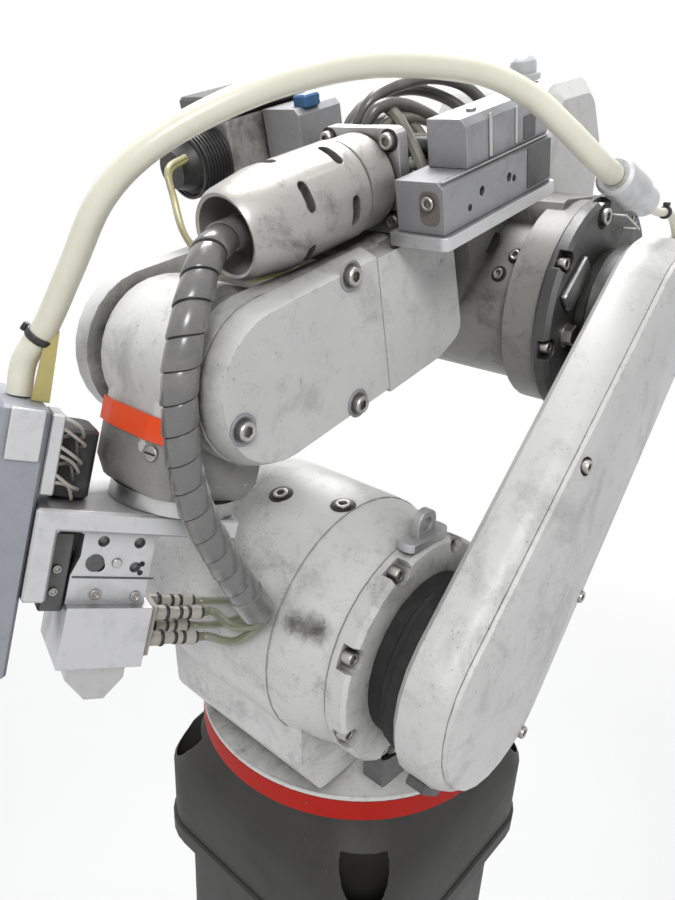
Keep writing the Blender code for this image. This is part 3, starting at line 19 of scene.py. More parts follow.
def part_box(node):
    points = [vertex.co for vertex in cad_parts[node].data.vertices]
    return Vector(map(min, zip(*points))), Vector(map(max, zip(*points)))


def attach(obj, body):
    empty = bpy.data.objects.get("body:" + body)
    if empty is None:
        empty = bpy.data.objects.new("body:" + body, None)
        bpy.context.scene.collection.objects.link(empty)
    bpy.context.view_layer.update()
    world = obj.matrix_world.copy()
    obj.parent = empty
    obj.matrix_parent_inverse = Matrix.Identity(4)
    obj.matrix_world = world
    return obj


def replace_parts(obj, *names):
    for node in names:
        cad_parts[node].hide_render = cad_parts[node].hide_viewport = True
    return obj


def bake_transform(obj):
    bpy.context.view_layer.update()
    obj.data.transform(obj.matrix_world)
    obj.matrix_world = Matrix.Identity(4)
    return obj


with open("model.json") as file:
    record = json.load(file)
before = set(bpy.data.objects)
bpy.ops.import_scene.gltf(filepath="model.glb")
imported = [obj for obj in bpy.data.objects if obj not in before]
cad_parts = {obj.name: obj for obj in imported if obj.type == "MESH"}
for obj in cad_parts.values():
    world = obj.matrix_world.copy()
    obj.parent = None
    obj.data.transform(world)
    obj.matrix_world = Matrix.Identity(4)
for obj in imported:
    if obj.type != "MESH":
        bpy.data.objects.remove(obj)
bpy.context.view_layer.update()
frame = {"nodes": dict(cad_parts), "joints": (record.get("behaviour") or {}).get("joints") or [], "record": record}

LOG = logging.getLogger("robot_arm")
Array = np.ndarray
Material = bpy.types.Material
Colour = tuple[float, float, float]
WHITE = (1.0, 1.0, 1.0)
WELD = 1e-6
WELD_DIGITS = 6
SHARP = 35.0
COVER_SHARP = 26.0
CURVE_STEPS = 24
WRAP_STEPS = 20
BEVEL_SAMPLES = 4
CORNER_SAMPLES = 6
UP = np.array([0.0, 0.0, 1.0])
SIDE = np.array([0.0, 1.0, 0.0])


# Frames of the moving bodies

@dataclass(frozen=True)
class Axes:
    """Place and three directions of one moving body at rest."""

    origin: Array
    x: Array
    y: Array
    z: Array

    def place(self, points: Sequence) -> Array:
        """Take points of this body's frame to the model's frame.

        Args:
            points: one point, or rows of points, as (x, y, z).

        Returns:
            The same points in the model's frame: origin + x times the first number, and so on.
        """
        p = np.asarray(points, float)
        return self.origin + p[..., :1] * self.x + p[..., 1:2] * self.y + p[..., 2:3] * self.z

    def turn(self, vectors: Sequence) -> Array:
        """Take directions of this body's frame to the model's frame."""
        v = np.asarray(vectors, float)
        return v[..., :1] * self.x + v[..., 1:2] * self.y + v[..., 2:3] * self.z


class Joint(Enum):
    """Joints of the arm by the names that the record gives them."""

    SHOULDER = "shoulder"
    ELBOW = "elbow_pitch"
    ROLL = "forearm_roll"
    WRIST = "wrist_bend"
    TOOL = "tool_turn"


class Skeleton:
    """Frames of the bodies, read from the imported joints."""

    def __init__(self) -> None:
        """Read each joint's place and axis, and build the frame of the body that it carries."""
        found = {j["name"]: (np.array(j["pos_m"], float),
                             np.array(j["axis"], float)) for j in frame["joints"]}
        side = SIDE
        shoulder = found[Joint.SHOULDER.value][0]
        elbow = found[Joint.ELBOW.value][0]
        roll, along = found[Joint.ROLL.value]
        wrist = found[Joint.WRIST.value][0]
        tool, down = found[Joint.TOOL.value]
        down = down * np.sign(np.dot(tool - wrist, down))
        mount = next(m for m in frame["record"]["mounts"] if m["name"] == "tool_plate_face")
        forward = np.array(mount["axis"], float)
        up = (elbow - shoulder) / np.linalg.norm(elbow - shoulder)
        self.base = Axes(np.array([0.0, 0.0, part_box("pedestal_top")[1].z]), *np.eye(3))
        self.lower = Axes(shoulder, np.cross(side, up), side, up)
        self.elbow = Axes(elbow, along, side, np.cross(along, side))
        self.roll = Axes(roll, along, side, np.cross(along, side))
        self.wrist = Axes(wrist, down, side, np.cross(down, side))
        self.tool = Axes(tool, down, np.cross(forward, down), forward)


# Surfaces

def linked(name: str, data: bpy.types.ID) -> bpy.types.Object:
    """Put a new object with this data in the scene, at the origin.

    Args:
        name: the object's name.
        data: its mesh, camera or lamp.

    Returns:
        The new object.
    """
    obj = bpy.data.objects.new(name, data)
    bpy.context.scene.collection.objects.link(obj)
    return obj


class Skin:
    """Faces gathered from grids of points, kept as whole arrays."""

    def __init__(self) -> None:
        """Start with no faces."""
        self.points: list[Array] = []
        self.faces: list[Array] = []
        self.uvs: list[Array] = []
        self.count = 0

    def grid(self, points: Array, closed: bool = True, uv: Array | None = None) -> "Skin":
        """Add a surface given on a grid of two parameters.

        Args:
            points: array (rows, columns, 3). Faces join each point to its neighbours.
            closed: True where the last column joins the first.
            uv: array (rows, columns, 2) of texture places in metres, or None.

        Returns:
            This skin.
        """
        rows, cols = points.shape[:2]
        index = np.arange(rows * cols).reshape(rows, cols)
        right = np.roll(index, -1, 1) if closed else index[:, 1:]
        left = index if closed else index[:, :-1]
        quads = np.stack([left[:-1], right[:-1], right[1:], left[1:]], -1).reshape(-1, 4)
        self.faces.append(quads + self.count)
        self.points.append(points.reshape(-1, 3))
        self.uvs.append(np.zeros((rows * cols, 2)) if uv is None else uv.reshape(-1, 2))
        self.count += rows * cols
        return self

    def arrays(self) -> tuple[Array, Array, Array]:
        """Return all points, faces and texture places as three arrays."""
        return np.concatenate(self.points), np.concatenate(self.faces), np.concatenate(self.uvs)

    def build(self, name: str, material: Material, sharp: float = SHARP,
              outward: bool = True) -> bpy.types.Object:
        """Make one mesh object, with points that meet at a seam or a pole welded.

        Args:
            name: the object's name.
            material: its finish.
            sharp: edges over this many degrees stay sharp.
            outward: True turns every closed surface's faces outwards; False leaves an open sheet as it is.

        Returns:
            The new object, at the origin.
        """
        points, faces, uvs = self.arrays()
        mesh = bpy.data.meshes.new(name)
        mesh.from_pydata(points.tolist(), [], faces.tolist())
        mesh.uv_layers.new(name="UVMap").data.foreach_set("uv", uvs[faces].astype(np.float32).ravel())
        work = bmesh.new()
        work.from_mesh(mesh)
        bmesh.ops.remove_doubles(work, verts=work.verts, dist=WELD)
        if outward:
            bmesh.ops.recalc_face_normals(work, faces=work.faces)
        work.to_mesh(mesh)
        work.free()
        mesh.materials.append(material)
        mesh.shade_smooth()
        mesh.set_sharp_from_angle(angle=np.radians(sharp))
        return linked(name, mesh)


def across(direction: Array) -> tuple[Array, Array]:
    """Two unit vectors square to a direction and to each other.

    Args:
        direction: rows of vectors, or one vector.

    Returns:
        The pair (u, v) with u, v and the direction a right-handed set.
    """
    d = direction / np.linalg.norm(direction, axis=-1, keepdims=True)
    helper = np.where(np.abs(d[..., 2:3]) < 0.9, np.array([0.0, 0.0, 1.0]), np.array([1.0, 0.0, 0.0]))
    u = np.cross(helper, d)
    u = u / np.linalg.norm(u, axis=-1, keepdims=True)
    return u, np.cross(d, u)


def turned(skin: Skin, profile: Sequence[tuple[float, float]], foot: Array, axis: Array, sides: int = 24,
           shape: Callable[[Array, Array], Array] | None = None) -> None:
    """Add a surface turned round an axis.

    A point is foot + axis * h + (u cos t + v sin t) * r, for each profile pair (r, h) and angle t.

    Args:
        skin: where the faces go.
        profile: pairs (radius, height), from the foot outward. A first or last radius of 0 closes it.
        foot: the place of height 0.
        axis: the direction of height.
        sides: number of angles.
        shape: takes radii and angles and gives the radii to use, for hexagons and knurls.
    """
    radius, height = np.array(profile, float).T
    t = np.linspace(0, 2 * np.pi, sides, endpoint=False)
    u, v = across(np.asarray(axis, float))
    d = np.asarray(axis, float) / np.linalg.norm(axis)
    r = np.repeat(radius[:, None], sides, 1)
    r = shape(r, t) if shape else r
    ring = np.cos(t)[:, None] * u + np.sin(t)[:, None] * v
    skin.grid(np.asarray(foot) + height[:, None, None] * d + r[..., None] * ring[None])


def smooth_line(points: Sequence, step: float) -> Array:
    """Even points of a Catmull-Rom curve through a route.

    Args:
        points: the route's own points.
        step: wanted distance between the new points.

    Returns:
        Array (n, 3).
    """
    p = np.asarray(points, float)
    p = np.vstack([2 * p[0] - p[1], p, 2 * p[-1] - p[-2]])
    t = np.linspace(0, 1, CURVE_STEPS, endpoint=False)[:, None]
    runs = [0.5 * (2 * b + (c - a) * t + (2 * a - 5 * b + 4 * c - d) * t ** 2
                   + (3 * b - a - 3 * c + d) * t ** 3)
            for a, b, c, d in zip(p, p[1:], p[2:], p[3:])]
    fine = np.vstack(runs + [p[-2:-1]])
    length = np.concatenate([[0], np.cumsum(np.linalg.norm(np.diff(fine, axis=0), axis=1))])
    even = np.linspace(0, length[-1], max(4, int(round(length[-1] / step)) + 1))
    return np.stack([np.interp(even, length, fine[:, k]) for k in range(3)], -1)


def line_frames(line: Array) -> tuple[Array, Array, Array, Array]:
    """Directions along a line that hardly twist round it.

    The first normal is one fixed direction less its part along the tangent. The fixed direction is the
    one that all tangents are most nearly square to, from their singular values.

    Args:
        line: array (n, 3).

    Returns:
        Tangents, two unit normals carried along the line, and the distance from its start.
    """
    tangent = np.gradient(line, axis=0)
    tangent /= np.linalg.norm(tangent, axis=1, keepdims=True)
    fixed = np.linalg.svd(tangent, full_matrices=False)[2][2]
    u = fixed - tangent * (tangent @ fixed)[:, None]
    u /= np.linalg.norm(u, axis=1, keepdims=True)
    gone = np.concatenate([[0], np.cumsum(np.linalg.norm(np.diff(line, axis=0), axis=1))])
    return tangent, u, np.cross(tangent, u), gone


def hose(skin: Skin, line: Array, radius: float | Array, sides: int = 16,
         rows: slice = slice(None)) -> None:
    """Add a round hose along a line, closed at both ends.

    A point is line(s) + (u(s) cos t + v(s) sin t) * radius(s).

    Args:
        skin: where the faces go.
        line: array (n, 3) of the hose's middle.
        radius: its radius, or one for each point of the line.
        sides: number of angles.
        rows: which of the line's points are used, so that two runs of one line meet exactly.
    """
    _, u, v, gone = line_frames(line)
    t = np.linspace(0, 2 * np.pi, sides, endpoint=False)
    ring = np.cos(t)[None, :, None] * u[:, None] + np.sin(t)[None, :, None] * v[:, None]
    r = np.broadcast_to(radius, len(line))[:, None]
    points = (line[:, None] + ring * r[..., None])[rows]
    uv = np.stack(np.broadcast_arrays(gone[:, None], t[None] * r), -1)[rows]
    caps = [np.repeat(line[rows][i][None, None], sides, 1) for i in (0, -1)]
    skin.grid(np.concatenate([caps[0], points, caps[1]]), uv=np.concatenate([uv[:1], uv, uv[-1:]]))


def ribbon(skin: Skin, line: Array, radius: Array, pitch: float, width: float, thick: float,
           cut: tuple[float, float]) -> None:
    """Add a flat strip wound round a line, as spiral wrap is.

    The strip's middle turns by 2 pi for each pitch along the line. A point is the line's place at
    s + w, plus its normal turned to that angle, times radius + h, for w across the strip and h up it.

    Args:
        skin: where the faces go.
        line: array (n, 3) of the middle that it is wound on.
        radius: inner radius of the strip at each point of the line.
        pitch: distance from turn to turn.
        width: the strip's width along the line.
        thick: its thickness.
        cut: shares of the line's length that this run starts and ends at.
    """
    _, u, v, gone = line_frames(line)
    turns = int(gone[-1] / pitch * WRAP_STEPS)
    first, last = (int(round(share * turns)) for share in cut)
    s = np.linspace(width / 2, gone[-1] - width / 2, turns + 1)[first:last + 1]
    section = np.array([(-0.5, -0.3), (-0.5, 0.25), (-0.44, 0.55), (0.44, 1.0), (0.5, 0.75), (0.5, -0.3)])
    at = s[:, None] + section[None, :, 0] * width
    high = np.broadcast_to(section[None, :, 1] * thick, at.shape)
    angle = (s / pitch)[:, None] * 2 * np.pi

    def read(values: Array) -> Array:
        """Read rows of values at the strip's distances along the line."""
        return np.stack([np.interp(at, gone, values[:, k]) for k in range(3)], -1)

    normal = np.cos(angle)[..., None] * read(u) + np.sin(angle)[..., None] * read(v)
    normal /= np.linalg.norm(normal, axis=-1, keepdims=True)
    points = read(line) + normal * (np.interp(at, gone, radius) + high)[..., None]
    ends = [np.repeat(points[i].mean(0)[None, None], len(section), 1) for i in (0, -1)]
    uv = np.stack(np.broadcast_arrays(s[:, None] * 4, section[None, :, 0] * width), -1)
    skin.grid(np.concatenate([ends[0], points, ends[1]]), uv=np.concatenate([uv[:1], uv, uv[-1:]]))


# Shader maths

class Wire:
    """An output socket of a material, on which Python's operators add Math nodes."""

    def __init__(self, graph: "Graph", socket: bpy.types.NodeSocket) -> None:
        """Keep the socket and the graph that it belongs to."""
        self.graph = graph
        self.socket = socket

    def _math(self, operation: str, *values: "Wire | float") -> "Wire":
        """Add one Math node and return its output."""
        node = self.graph.node("ShaderNodeMath", {"operation": operation}, dict(enumerate(values)))
        return Wire(self.graph, node.outputs[0])

    def __add__(self, other: "Wire | float") -> "Wire":
        """Sum."""
        return self._math("ADD", self, other)

    def __sub__(self, other: "Wire | float") -> "Wire":
        """Difference."""
        return self._math("SUBTRACT", self, other)

    def __mul__(self, other: "Wire | float") -> "Wire":
        """Product."""
        return self._math("MULTIPLY", self, other)

    def __rsub__(self, other: float) -> "Wire":
        """Difference from a number."""
        return self._math("SUBTRACT", other, self)

    __radd__ = __add__
    __rmul__ = __mul__

    def clamp(self) -> "Wire":
        """Keep the value between 0 and 1."""
        return self._math("MAXIMUM", self._math("MINIMUM", self, 1.0), 0.0)

    def highest(self, other: "Wire | float") -> "Wire":
        """The larger of two values."""
        return self._math("MAXIMUM", self, other)

    def power(self, exponent: float) -> "Wire":
        """Raise to a power."""
        return self._math("POWER", self, exponent)

    def step(self, low: float, high: float) -> "Wire":
        """Smooth step from 0 at low to 1 at high.

        Args:
            low: value that gives 0.
            high: value that gives 1.

        Returns:
            The stepped value.
        """
        settings = {"interpolation_type": "SMOOTHSTEP"}
        node = self.graph.node("ShaderNodeMapRange", settings, {0: self, 1: low, 2: high, 3: 0.0, 4: 1.0})
        return Wire(self.graph, node.outputs[0])


class Graph:
    """Node tree of one material or of the world."""

    def __init__(self, owner: "str | bpy.types.World") -> None:
        """Start a tree with an output and, for a material, a Principled shader.

        Args:
            owner: the new material's name, or the world.
        """
        name = isinstance(owner, str)
        self.material = bpy.data.materials.new(owner) if name else owner
        self.material.use_nodes = True
        self.tree = self.material.node_tree
        self.tree.nodes.clear()
        self.output = self.node("ShaderNodeOutputMaterial" if name else "ShaderNodeOutputWorld")
        if name:
            self.shader = self.node("ShaderNodeBsdfPrincipled")
            self.tree.links.new(self.shader.outputs[0], self.output.inputs[0])

    def node(self, kind: str, settings: dict | None = None, sockets: dict | None = None) -> bpy.types.Node:
        """Add a node, set its settings, then its sockets.

        Args:
            kind: the node's type.
            settings: attributes by name.
            sockets: values or wires by socket name or number.

        Returns:
            The new node.
        """
        node = self.tree.nodes.new(kind)
        for key, value in (settings or {}).items():
            setattr(node, key, value)
        for key, value in (sockets or {}).items():
            self.feed(node.inputs[key], value)
        return node

    def feed(self, socket: bpy.types.NodeSocket, value: "Wire | float | Colour") -> None:
        """Link a wire to a socket, or set the socket's own value.

        Args:
            socket: the input that is fed.
            value: a wire, a number or a colour.
        """
        if isinstance(value, Wire):
            self.tree.links.new(value.socket, socket)
        elif isinstance(value, tuple) and socket.type == "RGBA":
            socket.default_value = (*value, 1.0)
        else:
            socket.default_value = value

    def wire(self, node: bpy.types.Node, output: int | str = 0) -> Wire:
        """Wrap one output of a node."""
        return Wire(self, node.outputs[output])

    def vector(self, operation: str, output: str, *values: "Wire | Colour") -> Wire:
        """Add one Vector Math node and wrap its output."""
        node = self.node("ShaderNodeVectorMath", {"operation": operation}, dict(enumerate(values)))
        return self.wire(node, output)

    def blend(self, share: Wire, low: bpy.types.Node, high: bpy.types.Node) -> None:
        """Send a mix of two shaders to the output.

        Args:
            share: 0 for the first shader and 1 for the second.
            low: the first shader.
            high: the second shader.
        """
        mixed = self.node("ShaderNodeMixShader", {}, {0: share})
        for source, target in ((low, mixed.inputs[1]), (high, mixed.inputs[2]),
                               (mixed, self.output.inputs[0])):
            self.tree.links.new(source.outputs[0], target)

    def place(self, scale: Colour = WHITE) -> Wire:
        """Object coordinates, in metres, times a scale."""
        place = self.wire(self.node("ShaderNodeTexCoord"), "Object")
        return self.wire(self.node("ShaderNodeMapping", {}, {"Vector": place, "Scale": scale}))

    def noise(self, place: Wire, scale: float, detail: float = 3.0, rough: float = 0.5,
              warp: float = 0.0) -> Wire:
        """Noise between 0 and 1.

        Args:
            place: where it is read.
            scale: features per metre.
            detail: octaves.
            rough: weight of the fine octaves.
            warp: distortion.

        Returns:
            The noise value.
        """
        sockets = {"Vector": place, "Scale": scale, "Detail": detail, "Roughness": rough,
                   "Distortion": warp}
        return self.wire(self.node("ShaderNodeTexNoise", {}, sockets), 0)

    def mix(self, share: "Wire | float", low: "Wire | Colour", high: "Wire | Colour") -> Wire:
        """Mix two colours.

        Args:
            share: 0 for the first and 1 for the second.
            low: the first colour.
            high: the second colour.

        Returns:
            The mixed colour.
        """
        node = self.node("ShaderNodeMix", {"data_type": "RGBA"})
        self.feed(node.inputs[0], share)
        self.feed(node.inputs[6], low)
        self.feed(node.inputs[7], high)
        return Wire(self, node.outputs[2])

    def rounding(self, radius: float) -> Wire:
        """The surface's normal with each edge rounded by the Bevel node."""
        return self.wire(self.node("ShaderNodeBevel", {"samples": BEVEL_SAMPLES}, {"Radius": radius}))

    def edges(self, rounding: Wire) -> Wire:
        """Value that is high along edges, where the rounded normal leaves the true one."""
        flat = self.wire(self.node("ShaderNodeNewGeometry"), "True Normal")
        return (1.0 - self.vector("DOT_PRODUCT", "Value", rounding, flat)).step(0.02, 0.22)

    def specks(self, place: Wire, scale: float, size: float, rare: float) -> Wire:
        """Round specks of many sizes.

        Args:
            place: where they are read.
            scale: cells per metre.
            size: radius of a speck as a share of its cell.
            rare: share of the cells that have none.

        Returns:
            1 in a speck and 0 outside it.
        """
        node = self.node("ShaderNodeTexVoronoi", {"feature": "F1"}, {"Vector": place, "Scale": scale})
        channel = self.node("ShaderNodeSeparateColor", {}, {0: self.wire(node, "Color")})
        inside = 1.0 - self.wire(node, "Distance").step(size * 0.6, size)
        return inside * self.wire(channel, 0).step(rare, rare + 0.02)

    def along(self, place: Wire, point: Colour, direction: Colour) -> Wire:
        """Distance past a point in a direction."""
        offset = self.vector("SUBTRACT", "Vector", place, point)
        return self.vector("DOT_PRODUCT", "Value", offset, direction)

    def seen_rays(self) -> Wire:
        """Tell the rays that see the background.

        Returns:
            1 on rays from the camera, off glossy surfaces and through clear ones, and 0 on the rest.
        """
        path = self.node("ShaderNodeLightPath")
        camera, glossy = self.wire(path, "Is Camera Ray"), self.wire(path, "Is Glossy Ray")
        return camera.highest(glossy).highest(self.wire(path, "Is Transmission Ray"))

    def crevice(self, distance: float) -> Wire:
        """Value that is high in corners and under overhangs, where shade falls; the finishes paint shade with it.
        """
        node = self.node("ShaderNodeAmbientOcclusion", {"samples": CORNER_SAMPLES}, {"Distance": distance})
        return 1.0 - self.wire(node, "AO")

    def bump(self, height: Wire, depth: float, strength: float = 1.0, rounding: Wire | None = None) -> None:
        """Feed a bump to the shader's normal.

        Args:
            height: value between 0 and 1.
            depth: metres between the two.
            strength: share of the bump that is used.
            rounding: the normal that it starts from, or None for the surface's own.
        """
        node = self.node("ShaderNodeBump", {}, {"Height": height, "Distance": depth, "Strength": strength})
        if rounding:
            self.feed(node.inputs["Normal"], rounding)
        self.feed(self.shader.inputs["Normal"], self.wire(node))

    def finish(self, **sockets: "Wire | float | Colour") -> Material:
        """Feed the shader's sockets.

        Args:
            sockets: values by socket name, with underscores for spaces.

        Returns:
            The material.
        """
        for key, value in sockets.items():
            self.feed(self.shader.inputs[key.replace("_", " ")], value)
        return self.material


# Finishes

def shade(colour: Colour, share: float) -> Colour:
    """Darken a colour to a share of itself."""
    return tuple(c * share for c in colour)


@dataclass(frozen=True)
class WornPaint:
    """Factory paint with smudges, fine specks, grime and painted shade in the corners, and chips along the edges.
    """

    name: str
    colour: Colour
    grime: Colour = (0.075, 0.070, 0.062)
    chip: Colour = (0.22, 0.22, 0.215)
    speck: float = 0.6
    smudge: float = 0.5
    wear: float = 0.5
    roughness: float = 0.33
    metallic: float = 0.0
    specular: float = 0.5
    reach: float = 0.026
    bare_from: tuple | None = None
    bare: Colour = (0.30, 0.295, 0.28)
    smears: tuple = ()

    def material(self) -> Material:
        """Build the paint.

        Returns:
            The material. Smudges, fine dirt, corner grime with painted shade, specks and chips are masks laid
            over the colour one after the other. Past the place of bare_from the primer shows instead.
        """
        g = Graph(self.name)
        here = g.place()
        cloud = g.noise(here, 6.0, 4.0, 0.55)
        patch = g.noise(here, 19.0, 6.0, 0.68, 0.5)
        fine = g.noise(here, 85.0, 7.0, 0.74, 0.4)
        rounding = g.rounding(0.0011)
        edge = g.edges(rounding)
        # Ambient occlusion: high in corners and under overhangs, where shade falls.
        corner_shade = g.crevice(self.reach)
        colour = g.mix(cloud.step(0.38, 0.68) * 0.45, self.colour, shade(self.colour, 0.74))
        if self.bare_from:
            point, direction = self.bare_from
            gone = (g.along(here, point, direction) + (fine - 0.5) * 0.012).step(-0.001, 0.001)
            left = 1.0 - g.noise(here, 70.0, 3.0, 0.6, 0.8).step(0.63, 0.65)
            colour = g.mix(gone * left, colour, self.bare)
        tint = shade(self.colour, 0.36)
        colour = g.mix((patch.step(0.50, 0.70) * 0.75 * self.smudge).clamp(), colour, tint)
        colour = g.mix((fine.step(0.52, 0.74) * 0.55 * self.smudge).clamp(), colour,
                       shade(self.colour, 0.28))
        for point, size in self.smears:
            gap = g.vector("DISTANCE", "Value", here, point)
            mark = (1.0 - gap * (1.0 / size) + (patch - 0.5) * 0.9 + (fine - 0.5) * 1.2).step(0.0, 0.9)
            colour = g.mix(mark * 0.85, colour, shade(self.grime, 0.5))
        # Painted shade mixed with grime: corners and overhangs darken towards the grime colour, patchy along the
        # fine noise.
        colour = g.mix((corner_shade.power(1.3) * (0.30 + fine * 1.7)).clamp(), colour, self.grime)
        among = (cloud * 0.45 + patch * 0.55).step(0.44, 0.58)
        spots = g.specks(here, 520.0, 0.30, 1.0 - 0.30 * self.speck) * (0.08 + among * 0.92)
        coarse = g.specks(here, 230.0, 0.22, 1.0 - 0.12 * self.speck) * among
        colour = g.mix(spots.highest(coarse) * 0.62, colour, shade(self.colour, 0.22))
        chips = (fine + edge * (0.08 + 0.28 * self.wear)).step(0.68, 0.71)
        colour = g.mix(chips, colour, self.chip)
        rough = (self.roughness + patch * 0.16 + corner_shade * 0.2 + chips * 0.1).clamp()
        g.bump(g.noise(here, 620.0, 2.0) * 0.2 + (1.0 - chips) + (1.0 - spots) * 0.6, 0.00016, 0.5,
               rounding)
        return g.finish(Base_Color=colour, Roughness=rough, Metallic=self.metallic,
                        Specular_IOR_Level=self.specular)


@dataclass(frozen=True)
class MachinedMetal:
    """Bare metal with tool marks, dull patches, bright edges and painted shade in the corners."""

    name: str
    colour: Colour
    roughness: float = 0.34
    metallic: float = 1.0
    grain: Colour = (60.0, 900.0, 900.0)
    grime: float = 0.8

    def material(self) -> Material:
        """Build the metal.

        Returns:
            The material. A stretched noise gives the tool marks in roughness and bump.
        """
        g = Graph(self.name)
        here = g.place()
        marks = g.noise(g.place(self.grain), 1.0, 2.0, 0.5)
        patch = g.noise(here, 26.0, 6.0, 0.68, 0.5)
        fine = g.noise(here, 140.0, 5.0, 0.7)
        rounding = g.rounding(0.0008)
        colour = g.mix(patch.step(0.48, 0.76) * 0.45 * self.grime, self.colour, shade(self.colour, 0.5))
        colour = g.mix(fine.step(0.55, 0.75) * 0.3 * self.grime, colour, shade(self.colour, 0.4))
        colour = g.mix(g.edges(rounding) * 0.6, colour, tuple(min(1.0, c * 1.45) for c in self.colour))
        # Painted shade: ambient occlusion darkens the corners towards near black, scaled by the grime amount and
        # patchy along the fine noise.
        dark = (g.crevice(0.016).power(1.2) * self.grime * (0.6 + fine * 0.8)).clamp()
        colour = g.mix(dark, colour, (0.040, 0.037, 0.033))
        rough = (self.roughness + marks * 0.12 + patch.step(0.45, 0.75) * 0.2).clamp()
        g.bump(marks, 0.00007, 0.5, rounding)
        return g.finish(Base_Color=colour, Roughness=rough, Metallic=self.metallic)


@dataclass(frozen=True)
class Moulded:
    """Plastic or rubber: one colour with dust, faint mottle, painted shade in its corners and a fine surface
    grain.
    """

    name: str
    colour: Colour
    roughness: float = 0.45
    dust: float = 0.35
    coat: float = 0.0
    dust_colour: Colour = (0.30, 0.29, 0.27)

    def material(self) -> Material:
        """Build the plastic.

        Returns:
            The material, with dust in a soft mask, painted shade in its corners and a grain in its bump.
        """
        g = Graph(self.name)
        here = g.place()
        patch = g.noise(here, 38.0, 6.0, 0.7, 0.4)
        mixed = tuple(0.45 * c + 0.55 * d for c, d in zip(self.colour, self.dust_colour))
        colour = g.mix(patch.step(0.42, 0.78) * self.dust, self.colour, mixed)
        # Painted shade: ambient occlusion darkens corners and overhangs to a third of the colour.
        colour = g.mix(g.crevice(0.012) * 0.6, colour, shade(self.colour, 0.35))
        rough = (self.roughness + patch * 0.18).clamp()
        g.bump(g.noise(here, 1400.0, 2.0), 0.00005, 0.5)
        return g.finish(Base_Color=colour, Roughness=rough, Coat_Weight=self.coat, Coat_Roughness=0.2)


def finish(kind: Callable, *values: object, **more: object) -> Material:
    """Give a dataclass field that builds one material of a kind."""
    return field(default_factory=lambda: kind(*values, **more).material())


